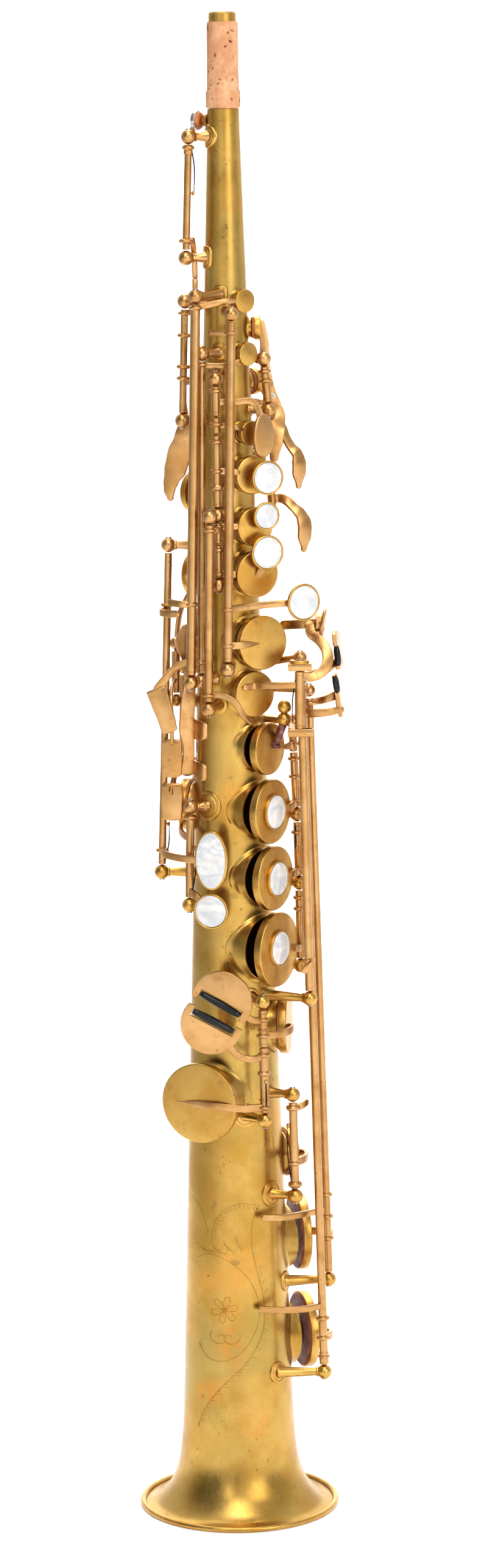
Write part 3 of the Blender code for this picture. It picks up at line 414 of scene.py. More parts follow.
def chimney(name):
    """Drawn tone hole: a rolled rim, a straight wall and a fillet that runs out on the tube."""
    sides = 56
    phi, z, hole, _ = HOLES[name]
    n, t = out(phi), out(phi + 90)
    top = seat(name)
    wall = hole + CHIMNEY_WALL
    fillet = 1.5 if hole > 5 else 0.9
    columns = []
    for k in range(sides):
        a = 2 * pi * k / sides
        c, s = cos(a), sin(a)

        def at(rho, h):
            return n * h + t * (rho * c) + UP * (z + rho * s)

        def skin(rho):
            r = (D_HIGH + CONE_SLOPE * (CONE_HIGH - z - rho * s)) / 2
            return sqrt(max(r * r - (rho * c) ** 2, 1.0))

        foot = skin(wall)
        deep = foot - WALL - 0.4
        column = [at(hole, deep), at(hole, top - 0.25), at(hole + 0.15, top), at(wall - 0.25, top),
                  at(wall + 0.05, top - 0.2), at(wall, top - 0.5)]
        low = min(top - 0.6, foot + min(fillet, (top - foot) * 0.7))
        column.append(at(wall, max(low, foot + 0.01)))
        for i in (1, 2, 3, 4):
            f = i / 4
            rho = wall + fillet * (1 - cos(f * pi / 2))
            drop = (max(low, foot) - foot) * (1 - sin(f * pi / 2))
            column.append(at(rho, skin(rho) + drop + 0.015))
        rho = wall + fillet
        column.append(at(rho, skin(rho) - WALL * 0.6))
        column.append(at(wall, deep))
        columns.append(column)
    return strip_ring(columns)


def strip_ring(columns):
    """Closed ring whose sections are the columns, each a closed loop of points."""
    verts, faces = [], []
    size = len(columns[0])
    for column in columns:
        verts.extend(column)
    for i in range(len(columns)):
        j = (i + 1) % len(columns)
        for k in range(size):
            m = (k + 1) % size
            faces.append([i * size + k, i * size + m, j * size + m, j * size + k])
    return verts, faces


# ---------------------------------------------------------------- materials

class Surface:
    """A procedural material built from noises in the object's own space, in metres."""

    def __init__(self, name, metallic=0.0, **uniform):
        self.mat = bpy.data.materials.new(name)
        self.mat.use_nodes = True
        self.nodes, self.links = self.mat.node_tree.nodes, self.mat.node_tree.links
        self.nodes.clear()
        output = self.nodes.new("ShaderNodeOutputMaterial")
        self.bsdf = self.nodes.new("ShaderNodeBsdfPrincipled")
        self.links.new(self.bsdf.outputs[0], output.inputs[0])
        self.bsdf.inputs["Metallic"].default_value = metallic
        for key, value in uniform.items():
            self.bsdf.inputs[key.replace("_", " ")].default_value = value
        self.space = self.nodes.new("ShaderNodeTexCoord").outputs["Object"]

    def put(self, socket, value):
        if isinstance(value, bpy.types.NodeSocket):
            self.links.new(value, socket)
        elif isinstance(value, (tuple, list)) and len(value) == 3 and socket.type == "RGBA":
            socket.default_value = (*value, 1)
        else:
            socket.default_value = value

    def noise(self, scale, detail=4.0, rough=0.55, stretch=(1, 1, 1), shift=(0, 0, 0), warp=0.0):
        """Noise of about 1 / scale metres, as a value round 0.5."""
        m = self.nodes.new("ShaderNodeMapping")
        self.links.new(self.space, m.inputs[0])
        m.inputs["Scale"].default_value = [scale * s for s in stretch]
        m.inputs["Location"].default_value = shift
        t = self.nodes.new("ShaderNodeTexNoise")
        self.links.new(m.outputs[0], t.inputs["Vector"])
        t.inputs["Scale"].default_value = 1.0
        t.inputs["Detail"].default_value = detail
        t.inputs["Roughness"].default_value = rough
        t.inputs["Distortion"].default_value = warp
        return t.outputs["Fac"]

    def cells(self, scale):
        """Pebbles of about 1 / scale metres."""
        m = self.nodes.new("ShaderNodeMapping")
        self.links.new(self.space, m.inputs[0])
        m.inputs["Scale"].default_value = [scale] * 3
        t = self.nodes.new("ShaderNodeTexVoronoi")
        self.links.new(m.outputs[0], t.inputs["Vector"])
        t.inputs["Scale"].default_value = 1.0
        return t.outputs["Distance"]

    def attribute(self, name):
        a = self.nodes.new("ShaderNodeAttribute")
        a.attribute_name = name
        return a.outputs["Fac"]

    def span(self, value, low, high, a=0.0, b=1.0):
        """value from low to high becomes a to b, clamped and smooth."""
        m = self.nodes.new("ShaderNodeMapRange")
        m.interpolation_type = "SMOOTHSTEP"
        self.put(m.inputs["Value"], value)
        for key, v in (("From Min", low), ("From Max", high), ("To Min", a), ("To Max", b)):
            m.inputs[key].default_value = v
        return m.outputs["Result"]

    def near(self, point, reach):
        """1 at a point in millimetres, falling to 0 at reach millimetres from it."""
        d = self.nodes.new("ShaderNodeVectorMath")
        d.operation = "DISTANCE"
        self.links.new(self.space, d.inputs[0])
        d.inputs[1].default_value = Vector(point) * MM
        return self.span(d.outputs["Value"], reach * 0.24 * MM, reach * MM, 1.0, 0.0)

    def calc(self, op, a, b):
        """A sum, product or other operation on two values."""
        m = self.nodes.new("ShaderNodeMath")
        m.operation = op
        self.put(m.inputs[0], a)
        self.put(m.inputs[1], b)
        return m.outputs[0]

    def mix(self, fac, a, b, mode="MIX"):
        m = self.nodes.new("ShaderNodeMix")
        m.data_type = "RGBA"
        m.blend_type = mode
        self.put(m.inputs[0], fac)
        self.put(m.inputs[6], a)
        self.put(m.inputs[7], b)
        return m.outputs[2]

    def stain(self, base, where, strength, tone):
        """The base colour with a tone laid over it, by where (0 to 1) times strength."""
        return self.mix(self.calc("MULTIPLY", where, strength), base, tone)

    def color(self, value):
        self.put(self.bsdf.inputs["Base Color"], value)

    def rough(self, value):
        self.put(self.bsdf.inputs["Roughness"], value)

    def bump(self, height, depth):
        """Bump of depth millimetres."""
        b = self.nodes.new("ShaderNodeBump")
        b.inputs["Distance"].default_value = depth * MM
        b.inputs["Strength"].default_value = 1.0
        self.put(b.inputs["Height"], height)
        self.links.new(b.outputs[0], self.bsdf.inputs["Normal"])
        return self


def srgb(r, g, b):
    """A colour as it is named on a paint card, 0 to 255, in the linear values that shaders take."""
    return tuple((c / 255 / 12.92) if c <= 10.3 else ((c / 255 + 0.055) / 1.055) ** 2.4 for c in (r, g, b))


# heat stains on the bell: a point in millimetres, how far each reaches and how strong it is
HEAT_STAINS = (
    ((-4, -27, 80), 13, 0.65),
    ((-15, -23, 58), 12, 0.55),
    ((9, -27, 44), 12, 0.5),
    ((12, -25, 120), 13, 0.35),
    ((2, -27, 66), 9, 0.35),
    ((-12, -24, 150), 10, 0.25),
)


def raw_brass():
    """Unlacquered body brass with brown freckles, green dullness and orange heat stains."""
    s = Surface("raw_brass", metallic=1.0)
    base = s.mix(s.span(s.noise(38, 5, 0.6), 0.36, 0.66), srgb(192, 154, 80), srgb(172, 131, 57))
    dull = s.span(s.noise(22, 6, 0.62, shift=(3, 1, 7)), 0.52, 0.68)
    base = s.stain(base, dull, 0.62, srgb(158, 138, 76))
    warm = s.span(s.noise(30, 5, 0.6, shift=(9, 4, 2)), 0.56, 0.72)
    base = s.stain(base, warm, 0.55, srgb(206, 144, 62))
    for point, reach, strength in HEAT_STAINS:
        edge = s.near(point, reach)
        patch = s.calc("MULTIPLY", edge, s.span(s.noise(120, 5, 0.6, shift=(5, 5, 5)), 0.3, 0.62))
        base = s.stain(base, patch, strength, srgb(201, 124, 48))
    freckles = s.span(s.noise(420, 3, 0.5, shift=(1, 8, 3)), 0.66, 0.73)
    crowd = s.span(s.noise(40, 3, 0.5, shift=(6, 2, 9)), 0.42, 0.62)
    base = s.stain(base, s.calc("MULTIPLY", freckles, crowd), 0.75, srgb(112, 76, 34))
    rings = s.span(s.noise(150, 2, 0.4, shift=(2, 2, 4)), 0.70, 0.76)
    base = s.stain(base, rings, 0.4, srgb(120, 100, 60))
    s.color(base)
    grime = s.noise(55, 6, 0.65, shift=(4, 4, 4))
    fine = s.noise(900, 3, 0.6, stretch=(1, 1, 0.25))
    s.rough(s.calc("ADD", s.span(grime, 0.3, 0.7, 0.25, 0.37), s.span(fine, 0.3, 0.7, -0.03, 0.04)))
    s.bump(s.calc("ADD", s.calc("MULTIPLY", fine, 0.5), s.calc("MULTIPLY", freckles, -0.8)), 0.012)
    return s.mat


def cup_brass():
    """Satin yellow brass of the cups and posts, handled smooth, with tarnish in patches."""
    s = Surface("satin_brass", metallic=1.0)
    cloud = s.span(s.noise(70, 5, 0.6, shift=(1, 3, 0)), 0.35, 0.68)
    base = s.mix(cloud, srgb(201, 159, 84), srgb(185, 137, 61))
    tarnish = s.span(s.noise(150, 6, 0.65, shift=(7, 1, 2)), 0.58, 0.72)
    base = s.stain(base, tarnish, 0.45, srgb(140, 104, 50))
    freckles = s.span(s.noise(650, 2, 0.5, shift=(3, 3, 8)), 0.68, 0.74)
    base = s.stain(base, freckles, 0.6, srgb(98, 68, 34))
    s.color(base)
    brushed = s.noise(1500, 2, 0.6, stretch=(1, 1, 0.12))
    handled = s.span(s.noise(90, 4, 0.6), 0.3, 0.7, 0.27, 0.40)
    s.rough(s.calc("ADD", handled, s.span(brushed, 0.3, 0.7, -0.03, 0.03)))
    s.bump(s.calc("ADD", s.calc("MULTIPLY", brushed, 0.4), s.calc("MULTIPLY", freckles, -0.6)), 0.008)
    return s.mat


def rose_lacquer():
    """Rose-bronze lacquer of the rods, arms and touches, browner where it has worn."""
    s = Surface("rose_lacquer", metallic=1.0)
    cloud = s.span(s.noise(60, 5, 0.6, shift=(2, 0, 5)), 0.35, 0.68)
    base = s.mix(cloud, srgb(196, 152, 99), srgb(178, 131, 76))
    worn = s.span(s.noise(130, 5, 0.62, shift=(0, 9, 1)), 0.56, 0.70)
    base = s.stain(base, worn, 0.5, srgb(158, 108, 54))
    freckles = s.span(s.noise(600, 2, 0.5, shift=(8, 3, 3)), 0.70, 0.76)
    base = s.stain(base, freckles, 0.6, srgb(120, 78, 48))
    s.color(base)
    s.rough(s.calc("ADD", s.span(s.noise(110, 4, 0.6), 0.3, 0.7, 0.27, 0.38),
                   s.span(s.noise(1200, 2, 0.5), 0.3, 0.7, -0.03, 0.03)))
    s.bump(s.noise(1300, 3, 0.6, stretch=(1, 1, 0.3)), 0.006)
    return s.mat


def mother_of_pearl():
    """Clouded white shell with a faint blush, under a thin gloss."""
    s = Surface("mother_of_pearl", Coat_Weight=0.5, Coat_Roughness=0.06, Specular_IOR_Level=0.6)
    cloud = s.noise(90, 4, 0.55, stretch=(1, 1, 1.6), warp=1.6)
    base = s.mix(s.span(cloud, 0.36, 0.6), srgb(216, 214, 210), srgb(186, 189, 192))
    blush = s.span(s.noise(160, 3, 0.5, shift=(5, 0, 0), warp=2.0), 0.5, 0.66)
    base = s.stain(base, blush, 0.5, srgb(214, 201, 193))
    s.color(base)
    s.rough(s.span(cloud, 0.3, 0.7, 0.14, 0.28))
    s.bump(s.noise(420, 2, 0.5, warp=1.0), 0.01)
    return s.mat


def leather(name, light, dark):
    """Pebbled pad leather."""
    s = Surface(name, Specular_IOR_Level=0.35)
    s.color(s.mix(s.span(s.noise(180, 5, 0.65), 0.35, 0.65), light, dark))
    grain = s.cells(2600)
    s.rough(s.span(s.noise(300, 4, 0.6), 0.3, 0.7, 0.48, 0.66))
    s.bump(s.calc("ADD", grain, s.calc("MULTIPLY", s.noise(500, 4, 0.6), 0.8)), 0.03)
    return s.mat


def cork_bark():
    """Pinkish cork with streaks and dark pits; the pits are a value on the mesh."""
    s = Surface("cork_bark", Specular_IOR_Level=0.25)
    base = s.mix(s.span(s.noise(110, 6, 0.65), 0.34, 0.66), srgb(214, 164, 122), srgb(190, 132, 92))
    streaks = s.span(s.noise(700, 3, 0.6, stretch=(1, 1, 0.6)), 0.55, 0.68)
    base = s.stain(base, streaks, 0.45, srgb(156, 100, 66))
    base = s.mix(s.attribute("pit"), base, srgb(92, 48, 28))
    s.color(base)
    s.rough(s.span(s.noise(400, 3, 0.5), 0.3, 0.7, 0.66, 0.84))
    s.bump(s.calc("ADD", s.noise(900, 5, 0.7), s.calc("MULTIPLY", s.cells(1500), 0.5)), 0.06)
    return s.mat


def black_resin():
    """Polished black resin of the rollers, with fine turning marks."""
    s = Surface("black_resin", Specular_IOR_Level=0.3)
    s.color(s.mix(s.span(s.noise(300, 4, 0.6), 0.4, 0.7), srgb(9, 9, 10), srgb(19, 19, 21)))
    s.rough(s.calc("ADD", s.span(s.noise(200, 5, 0.6), 0.3, 0.7, 0.18, 0.32),
                   s.span(s.noise(2200, 2, 0.5, stretch=(1, 1, 0.1)), 0.6, 0.7, 0.0, 0.12)))
    s.bump(s.noise(1800, 2, 0.5, stretch=(1, 1, 0.15)), 0.006)
    return s.mat


def hard_metal(name, light, dark, low, high):
    """Bare or patinated metal whose roughness runs from low to high."""
    s = Surface(name, metallic=1.0)
    s.color(s.mix(s.span(s.noise(300, 4, 0.6), 0.35, 0.65), light, dark))
    s.rough(s.span(s.noise(500, 4, 0.6), 0.3, 0.7, low, high))
    s.bump(s.noise(2500, 2, 0.5, stretch=(1, 1, 0.2)), 0.004)
    return s.mat


def felt(name, light, dark):
    """Pressed wool felt."""
    s = Surface(name, Specular_IOR_Level=0.2, Sheen_Weight=0.4)
    s.color(s.mix(s.span(s.noise(900, 5, 0.7), 0.35, 0.65), light, dark))
    s.rough(s.span(s.noise(500, 3, 0.5), 0.3, 0.7, 0.8, 0.95))
    s.bump(s.noise(3000, 4, 0.7), 0.05)
    return s.mat


MATERIALS = {
    "body": raw_brass(),
    "brass": cup_brass(),
    "rose": rose_lacquer(),
    "pearl": mother_of_pearl(),
    "pad": leather("pad_leather", srgb(150, 84, 52), srgb(112, 56, 34)),
    "tan_pad": leather("new_pad_leather", srgb(196, 122, 74), srgb(168, 94, 56)),
    # painted shade: these pads are dark leather, darkened further for the shade in the gap under their cups
    "dark_pad": leather("dark_pad_leather_painted_shade", srgb(44, 26, 18), srgb(22, 14, 12)),
    "cork": cork_bark(),
    "black": black_resin(),
    "steel": hard_metal("screw_steel", srgb(196, 192, 186), srgb(150, 144, 136), 0.22, 0.36),
    "nickel": hard_metal("nickel_silver", srgb(214, 208, 200), srgb(168, 158, 146), 0.2, 0.34),
    "blued": hard_metal("blued_spring_steel", srgb(46, 40, 62), srgb(26, 24, 34), 0.28, 0.4),
    "patina": hard_metal("purple_brown_patina", srgb(150, 104, 92), srgb(98, 62, 58), 0.34, 0.5),
    "felt": felt("bumper_felt", srgb(96, 60, 42), srgb(62, 38, 28)),
    "cut": hard_metal("cut_line", srgb(150, 108, 52), srgb(104, 70, 32), 0.34, 0.5),
}


# ---------------------------------------------------------------- pieces

def mesh_of(name, shells):
    """One mesh out of closed shells in millimetres, facing outwards."""
    bm = bmesh.new()
    for verts, faces in shells:
        made = [bm.verts.new(Vector(v) * MM) for v in verts]
        for face in faces:
            bm.faces.new([made[i] for i in face])
    bmesh.ops.recalc_face_normals(bm, faces=bm.faces)
    me = bpy.data.meshes.new(name)
    bm.to_mesh(me)
    bm.free()
    return me


def placed(name, data):
    """A new object in the scene."""
    ob = bpy.data.objects.new(name, data)
    bpy.context.scene.collection.objects.link(ob)
    return ob


def piece(name, body, finish, shells, stands_for=(), sharp=38):
    """One object out of closed shells in millimetres, smooth but for its edges, riding on a body."""
    me = mesh_of(name, shells)
    me.shade_smooth()
    me.set_sharp_from_angle(angle=radians(sharp))
    me.materials.append(MATERIALS[finish])
    ob = placed(name, me)
    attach(ob, body)
    if stands_for:
        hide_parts(*stands_for)
    return ob


def slotted_head(c, axis, r=1.25, h=0.5):
    """A round screw head with a slot across it."""
    axis = Vector(axis).normalized()
    u, v = perp(axis)
    gap = r * 0.16
    halves = []
    for sign in (1, -1):
        arc = [radians(a) for a in range(0, 181, 15)]
        pts = [(r * cos(a), sign * max(gap, r * sin(a))) for a in arc]
        rings = []
        for scale, lift in ((1.0, 0.0), (1.0, h * 0.6), (0.86, h)):
            rings.append([c + (u * x + v * y) * scale + axis * lift for x, y in pts])
        halves.append(bridge(rings))
    return halves + [rod(c - axis * 0.3, axis, r * 0.98, h * 0.55, 20)]


class Fixed:
    """Pieces that stand still, gathered by finish."""
    shells = {}

    @classmethod
    def add(cls, group, *shells):
        cls.shells.setdefault(group, []).extend(shells)


POSTS_MADE = set()


def post(p, foot_phi=None, foot_z=None, r=BALL_R, disc=0.0, stem=1.9, pivot=None, shape=None):
    """A post: a foot soldered to the tube, a tapered stem and a ball with its pivot screw."""
    p = Vector(p)
    place = tuple(round(c, 1) for c in p)
    if place in POSTS_MADE:
        return
    POSTS_MADE.add(place)
    phi = degrees(atan2(p.x, -p.y)) if foot_phi is None else foot_phi
    z = p.z if foot_z is None else foot_z
    foot = pol(phi, body_r(z) - 0.3, z)
    way = (p - foot).normalized()
    length = (p - foot).length
    plate_r = disc or stem + 1.3
    group = "upper_posts" if p.z > ROSE_ABOVE else "posts"
    Fixed.add("feet", flange(phi, z, plate_r, 0.9 if disc else 0.55, groove=disc > 4.5,
                             outline=squarish(plate_r * 0.92, plate_r * 1.1) if shape else None))
    waist = min(stem, 1.75)
    wide = min(stem * 1.32, plate_r - 0.5)
    profile = [(0, 0), (wide + 0.25, 0), (wide + 0.2, 1.0), (wide, 1.35), (waist, length - r - 1.2),
               (waist, length - r * 0.95 - 0.6), (waist + 0.45, length - r * 0.95 - 0.3),
               (waist + 0.45, length - r * 0.95 + 0.2), (waist, length - r * 0.8), (0, length - r * 0.6)]
    if length > r + 3.0:
        Fixed.add(group, lathe(foot, way, profile, 28))
    else:
        top = length - r * 0.6
        Fixed.add(group, lathe(foot, way, [(0, 0), (wide, 0), (waist, top), (0, top)], 28))
    ball(p, r, pivot)


def strut(a, b, r):
    """A round stem between two post heads."""
    Fixed.add("upper_posts", rod(a, b - a, r, (b - a).length, 20))


def block_head(p, left, right, pointed=False):
    """A post head sawn from flat bar, from left to right of the hinge at p."""
    depth, height = 3.8, 3.5
    a, b = p - Vector((left, 0, 0)), p + Vector((right, 0, 0))
    Fixed.add("upper_posts", sweep([a, p, b], height, depth, round_ends=(0.05, 0.05), edge=0.5))
    if pointed:
        nose = [b - Vector((2.4, 0, 0)), b + Vector((0.2, 0, 0))]
        Fixed.add("upper_posts", sweep(nose, [height, height], depth - 0.3, round_ends=(0.0, 0.3)))


def ball(p, r=BALL_R, pivot=None):
    """A post's ball, with the head of its pivot screw on the side that pivot points to."""
    Fixed.add("upper_posts" if p[2] > ROSE_ABOVE else "posts", sphere(p, r))
    if pivot is not None:
        way = Vector(pivot).normalized()
        Fixed.add("screws", *slotted_head(Vector(p) + way * (r - 0.22), way))


# the pieces of a key: group -> (end of the piece's name, finish); a cup and its pad choose their own
GROUPS = {
    "rods": ("arms", "rose"),
    "screw": ("screws", "nickel"),
    "cup": ("cup", "brass"),
    "pad": ("pad", "pad"),
    "resonator": ("resonator", "brass"),
    "pearl": ("pearl_inlay", "pearl"),
    "roller": ("roller", "black"),
    "felt": ("felt", "felt"),
    "holder": ("holder", "brass"),
    "patina": ("worn_arm", "patina"),
}


class Key:
    """A key shaped round the hinge of its CAD body."""

    def __init__(self, name, stands_open=False, radius=TUBE_R):
        joint = JOINTS[name]
        self.name = name
        self.radius = radius
        self.p0 = Vector(joint["pos_m"]) / MM
        self.axis = Vector(joint["axis"]).normalized()
        low, high = joint["range_deg"]
        self.turn = -radians(low if abs(low) > abs(high) else high) if stands_open else 0.0
        self.a, self.b = self.reach()
        self.parts = {group: [] for group in GROUPS}
        self.chosen = {}
        length = (self.b - self.a).length
        r = radius
        profile = [(0, 0), (r - 0.2, 0), (r, 0.2)]
        for z in (1.5, length - 1.5):
            profile += [(r, z - 0.2), (r - 0.14, z - 0.12), (r - 0.14, z + 0.12), (r, z + 0.2)]
        if length < 7:
            profile = profile[:3]
        profile += [(r, length - 0.2), (r - 0.2, length), (0, length)]
        self.add("rods", lathe(self.a, self.axis, profile, 32))

    def reach(self):
        """The ends of the hinge tube, from the CAD vertices that lie on its skin."""
        spans = []
        for v in NODES[self.name].data.vertices:
            d = v.co / MM - self.p0
            along = d.dot(self.axis)
            off = (d - self.axis * along).length
            if abs(off - self.radius) < 0.03:
                spans.append(along)
        return self.p0 + self.axis * min(spans), self.p0 + self.axis * max(spans)

    def add(self, group, *shells):
        """Take shells into one of the key's pieces."""
        self.parts[group].extend(shells)

    def shut(self, p):
        """Where a point of the standing key lies once its pad is down."""
        return self.p0 + Matrix.Rotation(-self.turn, 3, self.axis) @ (Vector(p) - self.p0)

    def standing_arm(self, points, *sizes):
        """An arm whose points are given as the key stands at rest."""
        self.arm([self.shut(p) for p in points], *sizes)

    def at(self, z):
        """The point of the hinge at height z."""
        return self.p0 + self.axis * ((z - self.p0.z) / self.axis.z)

    def collar(self, z, r=2.9, h=1.9):
        """A bevelled band round the tube, as where an arm is brazed on."""
        c = self.at(z) - self.axis * h / 2
        prof = [(0, 0), (r - 0.75, 0), (r, h * 0.32), (r, h * 0.68), (r - 0.75, h), (0, h)]
        self.add("rods", lathe(c, self.axis, rounded(prof, 0.18, 3), 32))

    def collars(self, *bands):
        """Several collars: each is a height, or a height with its radius and width."""
        for band in bands:
            self.collar(*(band if isinstance(band, tuple) else (band,)))

    def sleeve(self, z0, z1, r):
        """A slightly thicker length of tube."""
        a, b = self.at(z0), self.at(z1)
        h = (b - a).length
        self.add("rods", lathe(a, b - a, rounded([(0, 0), (r, 0), (r, h), (0, h)], 0.2, 3), 32))

    def arm(self, points, width=3.0, thick=1.6, up=UP, tip=False, **more):
        """A flat arm along a curve; with a tip it runs out to a point."""
        pts = [Vector(p) for p in points]
        if tip:
            n = len(pts)
            if not isinstance(width, (list, tuple)):
                width = [width] * (n - 1) + [0.7]
            thick = [thick] * (n - 1) + [0.8]
        self.add("rods", sweep(pts, width, thick, up, **more))

    def knob(self, z, way, height):
        """The little post that a needle spring bears on."""
        c = self.at(z)
        profile = [(0, 0), (0.5, 0), (0.5, height), (1.0, height + 0.3), (1.0, height + 0.9),
                   (0.6, height + 1.3), (0, height + 1.4)]
        self.add("rods", lathe(c, way, profile, 16))

    def spring(self, z_post, z_end, way, lean=2.9):
        """A blued needle from the post to its knob on the tube. It stays with the body."""
        way = Vector(way).normalized()
        a, b = self.at(z_post) + way * 1.2, self.at(z_end) + way * lean
        bow = (a + b) / 2 + way * 0.9
        Fixed.add("springs", wire([a, bow, b], [0.34, 0.3, 0.2]))
        self.knob(z_end + (0.8 if z_post > z_end else -0.8), way, lean - 1.0)

    def cup(self, hole, h=CUP_H, pad="pad", finish="brass", pad_h=1.5, dome=0.5):
        """A turned cup with its pad on a tone hole. Gives the middle of the cup's top."""
        phi, z, hole_r, r = HOLES[hole]
        n = out(phi)
        s = seat(hole) + PAD_GAP
        c = pol(phi, s, z)
        self.chosen = {"pad": pad, "cup": finish}
        edge = 0.55 if r > 6 else 0.4
        lip = pad_h * 0.55
        skirt = [(0, lip + 0.5), (r - 0.55, lip + 0.5), (r - 0.55, lip), (r, lip), (r, h)]
        shell = rounded(skirt, 0.12, 2)[:-1]
        shell += [(r - edge * (1 - cos(radians(a))), h - edge + edge * sin(radians(a)))
                  for a in range(0, 91, 15)]
        shell += [((r - edge) * (1 - t), h + dome * (1 - (1 - t) ** 2)) for t in (0.2, 0.4, 0.6, 0.8, 1.0)]
        self.add("cup", lathe(c, n, shell, 64 if r > 7 else 40))
        pad_prof = [(0, 0)]
        if hole_r > 3:
            rim = hole_r + 0.4
            pad_prof += [(rim - 1.0, 0.0), (rim - 0.5, 0.12), (rim + 0.3, 0.12), (rim + 0.8, 0.0)]
        pad_prof += [(r - 1.35, 0.0), (r - 0.9, 0.2), (r - 0.62, 0.7), (r - 0.6, lip + 1.2), (0, lip + 1.2)]
        self.add("pad", lathe(c, n, pad_prof, 64 if r > 7 else 40))
        if hole_r > 5:
            k = hole_r * 0.52
            disc = [(0, -0.2), (k, -0.2), (k, 0.1), (k - 0.5, 0.35), (1.3, 0.4), (1.1, 0.75), (0, 0.9)]
            self.add("resonator", lathe(c + n * 0.02, -n, disc, 32))
        return pol(phi, s + h, z)

    def pearl(self, center, normal, r=7.4, ratio=1.0, tall=1.0):
        """A pearl in a turned holder."""
        n = normal.normalized()
        if ratio == 1.0:
            hold = [(0, -0.6), (r - 0.8, -0.6), (r + 0.9, 0.2), (r + 0.9, tall + 0.35),
                    (r + 0.25, tall + 0.5), (r, tall + 0.15), (r, tall - 0.1), (0, tall - 0.1)]
            self.add("holder", lathe(center, n, rounded(hold, 0.22, 3), 56))
            girdle = r - 0.06
            gem = [(0, tall - 0.05), (girdle, tall - 0.05), (girdle, tall + 0.25), (r - 0.35, tall + 0.45)]
            gem += [((r - 0.35) * (1 - t), tall + 0.45 + 0.75 * (1 - (1 - t) ** 2))
                    for t in (0.15, 0.3, 0.5, 0.75, 1.0)]
            self.add("pearl", lathe(center, n, gem, 56))
        else:
            self.add("holder", plate(center + n * 0.9, n, oval(r * ratio + 0.9, r + 0.9), 2.0, 0.5))
            self.add("pearl", plate(center + n * 1.9, n, oval(r * ratio, r, 64), 0.9, 0.35, dome=0.6))

    def roller(self, mid, way, length):
        """A barrel-shaped roller that lies along way, with its middle at mid."""
        r, ends = 1.75, 1.2
        half = length / 2
        prof = [(0, -half), (ends - 0.25, -half), (ends, -half + 0.25)]
        prof += [(ends + (r - ends) * sin(pi * t) ** 0.7, -half + length * t)
                 for t in (0.12, 0.25, 0.4, 0.5, 0.6, 0.75, 0.88)]
        prof += [(ends, half - 0.25), (ends - 0.25, half), (0, half)]
        self.add("roller", lathe(mid, way, prof, 28))

    def upright_roller(self, center, normal, x, low, high):
        """A roller upright in the front notch of a touch plate; x, low and high are in the plate's plane."""
        r = 1.45
        n = normal.normalized()
        up = (UP - n * n.z).normalized()
        foot = center + up.cross(n) * x + up * low + n * 0.3
        h = high - low
        barrel = [(0, 0), (r - 0.35, 0), (r, h * 0.25), (r, h * 0.75), (r - 0.35, h), (0, h)]
        self.add("roller", lathe(foot, up, rounded(barrel, 0.25), 28))

    def done(self):
        """Turn the shells to the rest position and make the pieces."""
        there, back = Matrix.Translation(self.p0), Matrix.Translation(-self.p0)
        turn = there @ Matrix.Rotation(self.turn, 4, self.axis) @ back
        for group, shells in self.parts.items():
            if not shells:
                continue
            moved = [([turn @ Vector(v) for v in verts], faces) for verts, faces in shells]
            stands_for = {
                "rods": [self.name],
                "pearl": [self.name + "_pearl"],
                "roller": [n for n in NODES if n.endswith("_roller") and NODES[n]["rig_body"] == self.name],
            }.get(group, ())
            ending, usual = GROUPS[group]
            finish = self.chosen.get(group, usual)
            piece(self.name + "_" + ending, self.name, finish, moved, stands_for)


# ---------------------------------------------------------------- keys

